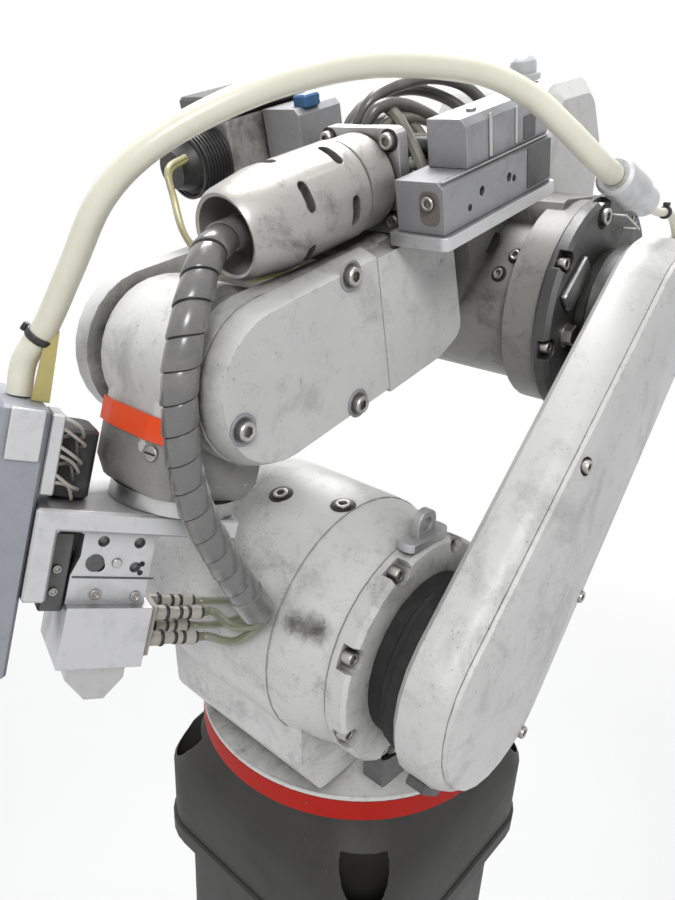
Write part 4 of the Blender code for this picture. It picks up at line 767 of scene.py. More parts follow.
@dataclass(frozen=True)
class Finishes:
    """All finishes of the arm, each a built material."""

    white: Material = finish(WornPaint, "worn_white_paint", (0.70, 0.695, 0.68))
    speckled: Material = finish(
        WornPaint, "speckled_white_paint", (0.70, 0.695, 0.68), speck=1.4, smudge=0.7, wear=0.7,
        smears=(((0.1622, 0.0720, 0.9415), 0.013), ((0.1595, 0.0800, 0.9410), 0.017),
                ((0.1560, 0.0900, 0.9400), 0.015)))
    wrist: Material = finish(
        WornPaint, "wrist_paint_over_primer", (0.68, 0.675, 0.66), speck=0.4, smudge=0.7,
        bare_from=((0.18964, 0.0, 1.06191), (0.28736, 0.0, -0.95782)))
    gland: Material = finish(
        WornPaint, "worn_silver_casting", (0.47, 0.455, 0.43), (0.030, 0.027, 0.023), (0.17, 0.155, 0.135),
        0.6, 1.25, 1.0, 0.34, 0.6, reach=0.010)
    # Dark grey for the elbow drum, partly painted shade of a drum that stands in shadow.
    cast: Material = finish(
        WornPaint, "grey_casting", (0.27, 0.265, 0.25), chip=(0.13, 0.125, 0.12), speck=0.5, smudge=1.1,
        wear=0.7)
    # Near black for the stand and base, partly painted shade of the base's side wall in shadow.
    base: Material = finish(
        WornPaint, "dark_base_paint", (0.050, 0.048, 0.046), grime=(0.02, 0.019, 0.017),
        chip=(0.16, 0.16, 0.155), speck=0.3, smudge=0.3, wear=0.3, roughness=0.46, specular=0.3)
    red: Material = finish(
        WornPaint, "red_band_paint", (0.47, 0.012, 0.005), grime=(0.05, 0.008, 0.006),
        chip=(0.26, 0.20, 0.18), speck=0.3, smudge=0.35, wear=0.5, roughness=0.5, specular=0.2)
    worn: Material = finish(
        MachinedMetal, "worn_dark_metal", (0.13, 0.13, 0.13), 0.42, 0.85, (300.0, 300.0, 300.0), 1.0)
    aluminium: Material = finish(MachinedMetal, "milled_aluminium", (0.60, 0.60, 0.61), 0.38, 0.9)
    anodised: Material = finish(
        MachinedMetal, "grey_anodised", (0.36, 0.36, 0.375), 0.46, 0.7, (200.0, 200.0, 200.0), 0.8)
    side: Material = finish(
        MachinedMetal, "bluish_plate", (0.33, 0.345, 0.38), 0.42, 0.6, (200.0, 200.0, 200.0), 0.7)
    steel: Material = finish(MachinedMetal, "machined_steel", (0.52, 0.52, 0.52), 0.28, 1.0)
    screw: Material = finish(
        MachinedMetal, "screw_steel", (0.46, 0.45, 0.43), 0.30, 1.0, (500.0, 500.0, 500.0), 0.8)
    # Black oxide for dark rings under screws, which also paint the shade of their recesses.
    oxide: Material = finish(
        MachinedMetal, "black_oxide_steel", (0.055, 0.053, 0.050), 0.36, 0.9, (500.0, 500.0, 500.0), 0.8)
    rust: Material = finish(
        MachinedMetal, "rusty_recess", (0.20, 0.17, 0.145), 0.62, 0.3, (300.0, 300.0, 300.0), 1.0)
    guard: Material = finish(Moulded, "ochre_guard", (0.55, 0.47, 0.17), 0.35, 0.5)
    black: Material = finish(Moulded, "black_moulding", (0.020, 0.020, 0.021), 0.38, 0.35)
    # Near black: painted shade for holes, slots, recesses and gaps.
    gap: Material = finish(Moulded, "dark_recess", (0.010, 0.010, 0.010), 0.7, 0.2)
    sheath: Material = finish(Moulded, "dark_cable", (0.085, 0.082, 0.072), 0.26, 0.7, 0.4)
    braid: Material = finish(Moulded, "olive_grey_cable", (0.23, 0.225, 0.18), 0.22, 0.7, 0.6)
    wrap: Material = finish(
        Moulded, "spiral_wrap", (0.155, 0.152, 0.150), 0.20, 0.9, 0.6, (0.33, 0.31, 0.28))
    cream: Material = finish(Moulded, "cream_hose", (0.82, 0.80, 0.66), 0.32, 0.35, 0.3, (0.50, 0.46, 0.33))
    yellow: Material = finish(Moulded, "yellow_green_tube", (0.60, 0.60, 0.22), 0.28, 0.3, 0.4)
    olive: Material = finish(Moulded, "olive_tube", (0.22, 0.23, 0.15), 0.22, 0.4, 0.5)
    clear: Material = finish(Moulded, "milky_plastic", (0.50, 0.52, 0.53), 0.20, 0.3, 0.5)
    amber: Material = finish(Moulded, "amber_tube", (0.42, 0.38, 0.20), 0.24, 0.4, 0.4)
    orange: Material = finish(Moulded, "orange_tape", (0.84, 0.075, 0.008), 0.42, 0.25)
    fitting: Material = finish(Moulded, "dusty_fitting", (0.44, 0.42, 0.36), 0.35, 0.7)
    pale: Material = finish(Moulded, "pale_strap", (0.66, 0.65, 0.62), 0.4, 0.25)
    blue: Material = finish(Moulded, "blue_clip", (0.035, 0.12, 0.26), 0.35, 0.2)


# Small parts

def from_flat(t: Array) -> Array:
    """Angle between each angle and the middle of its hexagon's side."""
    return (t + np.pi / 6) % (np.pi / 3) - np.pi / 6


@dataclass(frozen=True)
class SocketScrew:
    """Cap screw with a hexagonal socket."""

    radius: float = 0.0045
    height: float = 0.0045
    socket: float = 0.0024
    sink: float = 0.0026

    def add(self, skin: Skin, foot: Array, axis: Array) -> None:
        """Add one screw head.

        The head is turned from a profile with a chamfer. Inside the socket the radius follows a
        hexagon: socket / cos(angle within a sixth of a turn).

        Args:
            skin: where the faces go.
            foot: centre of the seat under the head.
            axis: direction that the head points in.
        """
        r, h, s = self.radius, self.height, self.socket
        profile = [(0, 0), (r, 0), (r, h * 0.82), (r * 0.88, h), (s * 1.25, h), (s, h - 0.0003),
                   (s, h - self.sink), (0, h - self.sink)]

        def hexagon(radii: Array, t: Array) -> Array:
            """Turn the socket's radii into a hexagon's."""
            flat = s / np.cos(from_flat(t))
            return np.where(np.isclose(radii, s), flat[None] * 0.95, radii)

        turned(skin, profile, foot, axis, 24, hexagon)


@dataclass(frozen=True)
class HexBolt:
    """Bolt with a hexagonal head on a washer."""

    flat: float = 0.009
    height: float = 0.0075

    def add(self, skin: Skin, foot: Array, axis: Array) -> None:
        """Add one washer and head.

        The head's radius follows flat / cos(angle within a sixth of a turn).

        Args:
            skin: where the faces go.
            foot: centre of the seat under the washer.
            axis: direction that the head points in.
        """
        w, washer = self.flat * 1.35, self.height * 0.24
        turned(skin, [(0, 0), (w, 0), (w, washer), (0, washer)], foot, axis, 24)

        def hexagon(radii: Array, t: Array) -> Array:
            """Turn the head's radii into a hexagon's."""
            return radii / np.cos(from_flat(t))[None]

        top = washer + self.height
        turned(skin, [(0, washer + 0.0001), (self.flat, washer + 0.0001), (self.flat, top * 0.94),
                      (self.flat * 0.93, top), (0, top)], foot, axis, 24, hexagon)


def disc(skin: Skin, radius: float, thick: float, foot: Array, axis: Array) -> None:
    """Add a thin round disc with a worn rim, for a plug, a washer or painted shade on the floor of a hole."""
    turned(skin, [(0, 0), (radius, 0), (radius, thick * 0.6), (radius * 0.94, thick), (0, thick)], foot,
           axis, 24)


def collar(skin: Skin, radii: tuple[float, float], heights: tuple[float, float], bevel: tuple[float, float],
           foot: Array, axis: Array, sides: int) -> None:
    """Add a ring of rectangular section whose outer edges are bevelled.

    Args:
        skin: where the faces go.
        radii: inner and outer radius.
        heights: its two ends along the axis.
        bevel: width of the bevel inwards and along the axis.
        foot: the place of height 0.
        axis: the direction of height.
        sides: number of angles.
    """
    (inner, outer), (low, high), (inward, along) = radii, heights, bevel
    turned(skin, [(inner, low), (outer - inward, low), (outer, low + along), (outer, high - along),
                  (outer - inward, high), (inner, high), (inner, low)], foot, axis, sides)


def rounded_rectangle(x0: float, x1: float, y0: float, y1: float, radius: float, steps: int = 5) -> Array:
    """Outline of a rectangle with round corners.

    Args:
        x0, x1, y0, y1: its sides.
        radius: radius of its corners.
        steps: points on each corner.

    Returns:
        Array (n, 2): each corner's centre plus radius times (cos t, sin t) over its quarter turn.
    """
    t = np.linspace(0, np.pi / 2, steps)
    centres = ((x1 - radius, y1 - radius, 0), (x0 + radius, y1 - radius, 1),
               (x0 + radius, y0 + radius, 2), (x1 - radius, y0 + radius, 3))
    return np.concatenate([np.stack([cx + radius * np.cos(t + k * np.pi / 2),
                                     cy + radius * np.sin(t + k * np.pi / 2)],
                                    -1) for cx, cy, k in centres])


def plate(skin: Skin, at: Axes, outline: Array, low: float, high: float, edge: float = 0.0005,
          facing: int = 2) -> None:
    """Add a plate with bevelled rims on both faces.

    A point is the outline, drawn in towards its middle by edge on the outer rows, at a height between
    low and high. The first and last rows shrink to the middle and close the plate.

    Args:
        skin: where the faces go.
        at: frame that the plate lies in.
        outline: array (n, 2) in the two other directions of that frame.
        low: height of the under face.
        high: height of the upper face.
        edge: width of the bevel.
        facing: which direction of the frame is the height: 0 for x, 1 for y, 2 for z.
    """
    middle = outline.mean(0)
    reach = np.abs(outline - middle).max()
    share = np.array([0.0, 1 - edge / reach, 1.0, 1.0, 1 - edge / reach, 0.0])
    height = np.array([low, low, low + edge, high - edge, high, high])
    flat = middle + (outline - middle)[None] * share[:, None, None]
    tall = np.broadcast_to(height[:, None, None], (*flat.shape[:2], 1))
    parts = [flat[..., :1], flat[..., 1:]]
    parts.insert(facing, tall)
    skin.grid(at.place(np.concatenate(parts, -1)))


@dataclass
class Assembly:
    """What each sub-assembly needs: the frames, the finishes and the body that it rides on."""

    skeleton: Skeleton
    finishes: Finishes
    body: ClassVar[str] = ""
    slot: ClassVar[str] = "steel"

    def add(self, skin: Skin, name: str, finish_used: Material, slot: str = "",
            sharp: float = SHARP) -> bpy.types.Object:
        """Make a piece of a skin, let it ride on this body and report it.

        Args:
            skin: its faces.
            name: the piece's name.
            finish_used: its material.
            slot: the record's slot; not used.
            sharp: edges over this many degrees stay sharp.

        Returns:
            The new piece.
        """
        obj = skin.build(name, finish_used, sharp)
        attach(obj, self.body)
        LOG.info("%s rides on %s", name, self.body)
        return obj

    def bend(self, skin: Skin, name: str, finish_used: Material, slot: str, bodies: tuple, start: Array,
             end: Array) -> bpy.types.Object:
        """Make a piece of a skin that runs from one body to the next, kept in the model's frame, and report it.

        Args:
            skin: its faces.
            name: the piece's name.
            finish_used: its material.
            slot: the record's slot; not used.
            bodies: the two bodies that it runs between, named in the report.
            start: not used.
            end: not used.

        Returns:
            The new piece.
        """
        obj = skin.build(name, finish_used)
        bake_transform(obj)
        LOG.info("%s bends from %s to %s", name, *bodies)
        return obj

    def paint(self, material: Material, *nodes: str) -> None:
        """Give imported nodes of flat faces, whose shape is right as it is, their finish.

        Args:
            material: the finish of these nodes.
            nodes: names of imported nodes.
        """
        for name in nodes:
            for slot in frame["nodes"][name].material_slots:
                slot.material = material
            LOG.info("%s gets %s", name, material.name)

    def cover(self, material: Material, *nodes: str) -> None:
        """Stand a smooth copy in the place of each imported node.

        The node's loose triangles are joined where their corners meet, so that its curved faces
        shade as one surface and its edges stay sharp.

        Args:
            material: the finish of these nodes.
            nodes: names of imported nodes.
        """
        for name in nodes:
            packed = frame["nodes"][name].data
            corners = np.empty(len(packed.vertices) * 3, np.float32)
            packed.vertices.foreach_get("co", corners)
            order = np.empty(len(packed.loops), np.int32)
            packed.loops.foreach_get("vertex_index", order)
            points, same = np.unique(np.round(corners.reshape(-1, 3), WELD_DIGITS), axis=0,
                                     return_inverse=True)
            faces = same.reshape(-1)[order.reshape(-1, 3)]
            faces = faces[(faces != np.roll(faces, -1, 1)).all(1)]
            mesh = bpy.data.meshes.new(name + "_skin")
            mesh.from_pydata(points.tolist(), [], faces.tolist())
            mesh.materials.append(material)
            mesh.shade_smooth()
            mesh.set_sharp_from_angle(angle=np.radians(COVER_SHARP))
            obj = linked(name + "_skin", mesh)
            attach(obj, self.body)
            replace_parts(obj, name)
            LOG.info("%s stands for %s", obj.name, name)


def tabs(at: Axes, *rows: tuple) -> Skin:
    """Make small plates with round corners.

    Args:
        at: frame that they lie in.
        rows: for each one its four sides, the radius of its corners, its two heights, the width of its
            bevel, and the direction that it faces.

    Returns:
        Their faces.
    """
    skin = Skin()
    for sides, radius, heights, edge, facing in rows:
        plate(skin, at, rounded_rectangle(*sides, radius), *heights, edge, facing)
    return skin


def seat(at: Axes, point: Sequence, normal: Sequence) -> Axes:
    """Frame on a surface of a body.

    Args:
        at: the body's frame.
        point: place in that frame.
        normal: direction of the surface there, in the same frame.

    Returns:
        Axes at the point, whose z is the normal and whose y is as near the body's y as it can be.
    """
    n = at.turn(np.asarray(normal, float))
    n = n / np.linalg.norm(n)
    y = at.y - n * np.dot(at.y, n)
    y = y / np.linalg.norm(y) if np.linalg.norm(y) > 0.2 else at.x - n * np.dot(at.x, n)
    y = y / np.linalg.norm(y)
    return Axes(at.place(point), np.cross(y, n), y, n)


# Sub-assemblies

@dataclass
class Pedestal(Assembly):
    """Steel stand, base casting and their bolts."""

    body: ClassVar[str] = "pedestal"
    bolt_inset: float = 0.030
    pocket_floor: float = 0.022
    anchor_inset: float = 0.040
    foot_thickness: float = 0.020

    def dress(self) -> None:
        """Paint the nodes and add the bolts of the base and of the foot."""
        # The stand and base take a near-black finish, partly painted shade: the base's side wall stands in shadow.
        self.cover(self.finishes.base, "pedestal_foot", "pedestal_column", "pedestal_top", "base_casting",
                   "base_connector_box")
        at = self.skeleton.base
        skin = Skin()
        for node, inset, size, height in (("base_casting", self.bolt_inset, 0.0095, self.pocket_floor),
                                          ("pedestal_foot", self.anchor_inset, 0.012, None)):
            low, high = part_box(node)
            place = (high.x - low.x) / 2 - inset
            rise = height if height else self.foot_thickness - at.origin[2]
            for x, y in ((a * place, b * place) for a in (-1, 1) for b in (-1, 1)):
                HexBolt(size, size * 0.85).add(skin, at.place((x, y, rise)), at.z)
        self.add(skin, "base_bolts", self.finishes.screw)


@dataclass
class Shoulder(Assembly):
    """Swivel head with its bolted flange."""

    body: ClassVar[str] = "swivel"
    flange_radius: float = 0.087
    flange_face: float = 0.122
    flange_thickness: float = 0.018
    scallops: int = 8
    scallop_radius: float = 0.009
    head_screws: tuple = ((0.1056, 0.002, 0.3926), (0.0904, 0.0505, 0.3959), (0.0480, -0.060, 0.3930))
    seam_place: float = 0.0600
    seam_radius: float = 0.0964
    skirt_radius: float = 0.144
    skirt_gap: float = 0.0003
    skirt_edge: float = 0.004
    skirt_sides: int = 160

    def dress(self) -> None:
        """Paint the nodes and put a screw in each pocket of the flange and on the barrel."""
        f = self.finishes
        self.cover(f.speckled, "swivel_casting", "shoulder_flange", "shoulder_end_cap")
        low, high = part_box("swivel_band")
        r, lip, band = self.skirt_radius, high.z + self.skirt_gap, Skin()
        collar(band, (r - 0.004, r + 0.0002), (low.z, high.z), (0.0005, 0.0006), np.zeros(3), UP,
               self.skirt_sides)
        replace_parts(self.add(band, "red_band", f.red, "red_paint"), "swivel_band")
        edge, top = Skin(), lip + self.skirt_edge
        turned(edge, [(r - 0.003, lip), (r - 0.0003, lip), (r + 0.0003, lip + 0.0006),
                      (r + 0.0003, top - 0.0006),
                      (r - 0.0003, top + 0.0002), (r - 0.003, top + 0.0003), (r - 0.003, lip)],
               np.zeros(3), UP, self.skirt_sides)
        self.add(edge, "skirt_edge", f.speckled, "white_paint")
        self.cover(f.aluminium, "shoulder_clip")
        self.paint(f.worn, "shoulder_stop")
        skin = Skin()
        shoulder = self.skeleton.lower.origin
        turn = 2 * np.pi * (np.arange(self.scallops) + 0.5) / self.scallops
        out = self.flange_radius - self.scallop_radius * 0.3 - 0.0035
        floor = self.flange_face - self.flange_thickness + 0.0072
        for t in turn:
            foot = shoulder + np.array([np.cos(t) * out, floor, np.sin(t) * out])
            SocketScrew(0.0052, 0.0075, 0.0027).add(skin, foot, SIDE)
        rings = Skin()
        for point in self.head_screws:
            axis = np.array([point[0] - shoulder[0], 0.0, point[2] - 0.3])
            at = seat(self.skeleton.base, point, axis)
            # A near-black disc under each head screw paints the shade of its recess.
            disc(rings, 0.0095, 0.0006, at.origin - at.z * 0.0003, at.z)
            SocketScrew(0.0056, 0.0018, 0.0030, 0.0015).add(skin, at.origin, at.z)
        y, r = self.seam_place, self.seam_radius
        seam = Skin()
        turned(seam, [(r - 0.002, y - 0.0004), (r + 0.0003, y - 0.0004), (r + 0.0003, y + 0.0004),
                      (r - 0.002, y + 0.0004), (r - 0.002, y - 0.0004)],
               np.array([shoulder[0], 0.0, shoulder[2]]), SIDE, 96)
        self.add(seam, "barrel_seam", f.anodised, "dark_metal")
        self.add(skin, "shoulder_screws", f.screw)
        self.add(rings, "shoulder_recess_shade_rings", f.oxide)


@dataclass
class LowerArm(Assembly):
    """Tapered link with its crowned cover."""

    body: ClassVar[str] = "lower_arm"
    length: float = 0.298
    foot_radius: float = 0.076
    head_radius: float = 0.058
    taper: float = 0.007
    inner: float = 0.1507
    depth: float = 0.0358
    pocket_radius: float = 0.0065
    hub_radius: float = 0.0662
    seal: tuple = (0.1405, 0.1500)
    pockets: tuple = ((-0.06, -1), (0.52, 1), (0.94, -1), (0.30, -1))

    def dress(self) -> None:
        """Paint the nodes, put a screw in each pocket of the cover with painted shade on its floor, and add a
        near-black ring at the seal behind the arm, partly painted shade of the gap there.
        """
        f = self.finishes
        at = self.skeleton.lower
        self.cover(f.white, "lower_arm_casting", "lower_arm_cover", "hose_anchor")
        self.cover(f.aluminium, "hose_coupling")
        # The hub is near black as painted shade of the gap between the flange and the arm.
        self.cover(f.gap, "shoulder_hub")
        self.cover(f.worn, "elbow_hub")
        self.paint(f.worn, "lower_arm_stop")
        skin, dark = Skin(), Skin()
        floor = self.inner + self.depth + 0.0003 + 0.0021
        for share, side in self.pockets:
            radius = self.foot_radius + (self.head_radius - self.foot_radius) * share - self.taper
            foot = at.place((side * (radius - self.pocket_radius - 0.004), floor, self.length * share))
            SocketScrew(0.0048, 0.0062, 0.0025).add(skin, foot, at.y)
            # A near-black disc paints the shade on the floor of each pocket.
            disc(dark, 0.0066, 0.0004, foot, at.y)
        r = self.hub_radius
        # A near-black ring at the seal behind the arm, partly painted shade of the gap there.
        collar(dark, (r - 0.003, r + 0.0022), self.seal, (0.0006, 0.002), at.origin, at.y, 64)
        self.add(skin, "lower_arm_screws", f.screw)
        self.add(dark, "lower_arm_recess_shade", f.gap, "black_plastic")


@dataclass
class Elbow(Assembly):
    """Drum, ring and roll motor housing."""

    body: ClassVar[str] = "elbow"
    ring_radius: float = 0.085
    ring_face: float = 0.131
    ring_thickness: float = 0.013
    scallops: int = 8
    scallop_radius: float = 0.009

    def dress(self) -> None:
        """Paint the nodes, screw the ring down and add its strap, bolt, wire clip and side screws, with painted
        shade in the screws' recesses and in an oval recess.
        """
        f = self.finishes
        at = self.skeleton.elbow
        # The drum's dark grey is partly painted shade, as the drum stands in shadow.
        self.cover(f.cast, "elbow_casting")
        self.cover(f.white, "elbow_motor_housing")
        self.cover(f.worn, "elbow_ring")
        self.cover(f.clear, "status_lamp")
        skin, dark = Skin(), Skin()
        out = self.ring_radius - self.scallop_radius * 0.5 - 0.003
        for t in 2 * np.pi * np.arange(self.scallops) / self.scallops:
            foot = at.place((np.cos(t) * out, self.ring_face - self.ring_thickness + 0.0052,
                             np.sin(t) * out))
            SocketScrew(0.0046, 0.0060, 0.0025).add(skin, foot, at.y)
        HexBolt(0.0068, 0.0060).add(skin, at.place((0.0565, self.ring_face, 0.0020)), at.y)
        SocketScrew(0.0062, 0.0040, 0.0034).add(skin, at.place((0.0040, self.ring_face, 0.0735)), at.y)
        # A near-black disc round this screw paints the shade of its recess.
        disc(dark, 0.0092, 0.0005, at.place((0.0040, self.ring_face - 0.0001, 0.0735)), at.y)
        for point, normal in (((0.0445, 0.0826, 0.0514), (0.71, 0.0, 0.71)),
                              ((0.0548, 0.0742, 0.0398), (0.82, 0.0, 0.57)),
                              ((0.0315, 0.0580, 0.0735), (0.40, 0.0, 0.92))):
            place = seat(at, point, normal)
            # Near-black discs round the side screws paint the shade of their recesses.
            disc(dark, 0.0062, 0.0005, place.origin - place.z * 0.0002, place.z)
            SocketScrew(0.0040, 0.0030, 0.0021).add(skin, place.origin, place.z)
        # A near-black oval paints the shade of a recess.
        recess = seat(at, (0.0420, 0.0600, 0.0585), (0.55, 0.0, 0.83))
        plate(dark, recess, rounded_rectangle(-0.0095, 0.0095, -0.0048, 0.0048, 0.0047), -0.0004, 0.0005)
        self.add(skin, "elbow_screws", f.screw)
        self.add(dark, "elbow_recess_shade", f.gap, "dark_metal")
        strap = Skin()
        mark = seat(at, (0.0480, self.ring_face, 0.0385), (0.0, 1.0, 0.0))
        turn = np.radians(-31.0)
        box = rounded_rectangle(-0.0190, 0.0190, -0.0085, 0.0085, 0.0018)
        lean = np.stack([box[:, 0] * np.cos(turn) - box[:, 1] * np.sin(turn),
                         box[:, 0] * np.sin(turn) + box[:, 1] * np.cos(turn)], -1)
        plate(strap, Axes(mark.origin, at.x, at.z, at.y), lean, 0.0, 0.0045, 0.0010)
        self.add(strap, "elbow_strap", f.steel)
        wire = Skin()
        y = self.ring_face
        loop = [(-0.0080, y, 0.0715), (-0.0080, y + 0.0100, 0.0715), (-0.0095, y + 0.0120, 0.0705),
                (-0.0330, y + 0.0120, 0.0545), (-0.0345, y + 0.0100, 0.0535), (-0.0345, y, 0.0535)]
        hose(wire, smooth_line(at.place(loop), 0.0012), 0.0009, 8)
        self.add(wire, "elbow_wire_clip", f.pale, "steel")


@dataclass
class Forearm(Assembly):
    """Forearm housing, covers and their screws."""

    body: ClassVar[str] = "forearm"
    face: float = 0.0744
    screws: tuple = ((0.2203, 0.0425), (0.3206, -0.0093), (0.2280, -0.0400))

    def dress(self) -> None:
        """Paint the nodes and add the screws of the side cover with grey rings that paint the shade of their
        counterbores.
        """
        f = self.finishes
        self.cover(f.white, "forearm_flange", "forearm_casting", "forearm_side_cover")
        self.cover(f.worn, "forearm_back_cover")
        skin, dark = Skin(), Skin()
        at = self.skeleton.roll
        for x, z in self.screws:
            foot = at.place((x, self.face - 0.0001, z))
            # A grey ring round each screw paints the shade of its counterbore.
            turned(dark, [(0.0090, 0.0), (0.0094, 0.0006), (0.0078, 0.0009), (0.0066, 0.0002), (0, 0.0002),
                          (0, 0),
                          (0.0090, 0.0)], foot, at.y, 32)
            SocketScrew(0.0058, 0.0050, 0.0030, 0.003).add(skin, foot + at.y * 0.0002, at.y)
        self.add(skin, "forearm_screws", f.screw)
        self.add(dark, "forearm_counterbore_shade", f.anodised)


@dataclass
class DressPackage(Assembly):
    """Plate on the forearm with the gland, the valve blocks, the junction box and their cables."""

    body: ClassVar[str] = "forearm"
    gland_seat: float = 0.150
    gland_y: float = 0.038
    gland_z: float = 0.0793
    flange_half: float = 0.031
    flange_thickness: float = 0.009
    lower_side: float = 0.110
    upper_side: float = 0.107
    lower_end: float = 0.174
    loop_radius: float = 0.0037
    olive_loops: tuple = (
        ((0.149, 0.040, 0.098), (0.1318, 0.043, 0.1085), (0.1099, 0.046, 0.1065), (0.0960, 0.050, 0.0992),
         (0.1000, 0.054, 0.0915), (0.1227, 0.052, 0.0895), (0.149, 0.048, 0.0880)),
        ((0.149, 0.052, 0.096), (0.1300, 0.056, 0.0975), (0.1130, 0.060, 0.0930), (0.1060, 0.070, 0.0860)),
        ((0.149, 0.042, 0.080), (0.1280, 0.047, 0.0745), (0.1062, 0.054, 0.0705), (0.0960, 0.070, 0.0700)),
        ((0.149, 0.026, 0.088), (0.1290, 0.028, 0.1000), (0.1020, 0.034, 0.1030), (0.0760, 0.044, 0.0960),
         (0.0680, 0.058, 0.0860), (0.0800, 0.072, 0.0800)),
        ((0.149, 0.058, 0.086), (0.1350, 0.062, 0.0840), (0.1220, 0.068, 0.0790), (0.1160, 0.0755, 0.0730)))
    dark_loops: tuple = (
        ((0.147, 0.022, 0.098), (0.1420, 0.030, 0.1160), (0.1290, 0.035, 0.1245), (0.1073, 0.040, 0.1268),
         (0.0797, 0.043, 0.1246), (0.0560, 0.048, 0.1160), (0.0440, 0.056, 0.1030),
         (0.0520, 0.070, 0.0960)),
        ((0.148, 0.032, 0.098), (0.1460, 0.037, 0.1120), (0.1370, 0.041, 0.1185), (0.1200, 0.045, 0.1160),
         (0.1010, 0.050, 0.1060), (0.0900, 0.057, 0.0950), (0.0960, 0.072, 0.0880)),
        ((0.148, 0.016, 0.092), (0.1380, 0.018, 0.1100), (0.1150, 0.022, 0.1200), (0.0850, 0.028, 0.1190),
         (0.0600, 0.038, 0.1080), (0.0540, 0.052, 0.0950), (0.0660, 0.068, 0.0880)),
        ((0.149, 0.030, 0.072), (0.1250, 0.036, 0.0665), (0.1050, 0.046, 0.0640), (0.0930, 0.060, 0.0640),
         (0.0860, 0.074, 0.0660)),
        ((0.149, 0.052, 0.070), (0.1340, 0.058, 0.0660), (0.1220, 0.066, 0.0640), (0.1160, 0.0755, 0.0620)))
    sleeves: tuple = (
        ((0.1340, 0.052, 0.0950), (0.1250, 0.062, 0.0930), (0.1180, 0.0785, 0.0920)),
        ((0.1200, 0.056, 0.0800), (0.1120, 0.066, 0.0780), (0.1080, 0.0757, 0.0770)),
        ((0.0640, 0.056, 0.0980), (0.0600, 0.068, 0.0970), (0.0580, 0.0790, 0.0970)),
        ((0.1400, 0.058, 0.0760), (0.1330, 0.066, 0.0720), (0.1300, 0.0757, 0.0700)))

    def dress(self) -> None:
        """Paint the nodes, then add the screws, the loops of cable and the marks of the blocks."""
        f = self.finishes
        self.cover(f.aluminium, "dress_plate", "gland_flange")
        self.cover(f.gland, "gland_barrel", "junction_box")
        self.cover(f.worn, "junction_lid")
        self.cover(f.anodised, "valve_block_lower")
        self.paint(f.anodised, "valve_block_upper", "valve_block_far")
        self.cover(f.braid, "dress_cable_1", "dress_cable_2")
        self.cover(f.black, "junction_plug")
        self._screws()
        self._cables()
        self._blocks()
        self._tubes()

    def _screws(self) -> None:
        """Add the gland flange's screws, each on a dark ring that also paints the shade of its seat, and three
        small screws on the valve blocks.
        """
        at, skin, dark, collar = self.skeleton.roll, Skin(), Skin(), Skin()
        inset = self.flange_half - 0.0068
        front = self.gland_seat + self.flange_thickness
        for y in (-inset, inset):
            for z in (-inset, inset):
                foot = at.place((front, self.gland_y + y, self.gland_z + z))
                # A dark ring under each flange screw, black oxide that also paints the shade of its seat.
                disc(dark, 0.0068, 0.0005, foot - at.x * 0.0001, at.x)
                SocketScrew(0.0049, 0.0046, 0.0026).add(skin, foot, at.x)
        for z, x in ((0.1000, 0.1200), (0.0700, 0.0560)):
            SocketScrew(0.0030, 0.0020, 0.0016, 0.001).add(skin,
                                                           at.place((x, self.upper_side - 0.012, 0.1123)),
                                                           at.z)
        end = at.place((self.lower_end, 0.1000, 0.0735))
        SocketScrew(0.0042, 0.0030, 0.0022, 0.002).add(skin, end, at.x)
        self.add(skin, "gland_screws", self.finishes.screw)
        self.add(dark, "gland_screw_rings", self.finishes.oxide)

    def _cables(self) -> None:
        """Add the loops between the gland's flange and the valve blocks, and the black sleeves on them."""
        at = self.skeleton.roll
        for name, routes, radius, material in (("olive_loops", self.olive_loops, self.loop_radius,
                                                self.finishes.braid),
                                               ("dark_loops", self.dark_loops, self.loop_radius * 1.08,
                                                self.finishes.sheath),
                                               ("loop_sleeves", self.sleeves, 0.0058, self.finishes.black)):
            skin = Skin()
            for route in routes:
                hose(skin, smooth_line(at.place(route), 0.003), radius, 14)
            self.add(skin, name, material, "cable_sheath")

    def _blocks(self) -> None:
        """Add holes and slits painted as near-black shade, seam strip, blank plates, rusty recess and blue clip to
        the blocks.
        """
        at, f = self.skeleton.roll, self.finishes
        side, upper = self.lower_side, self.upper_side
        dark = Skin()
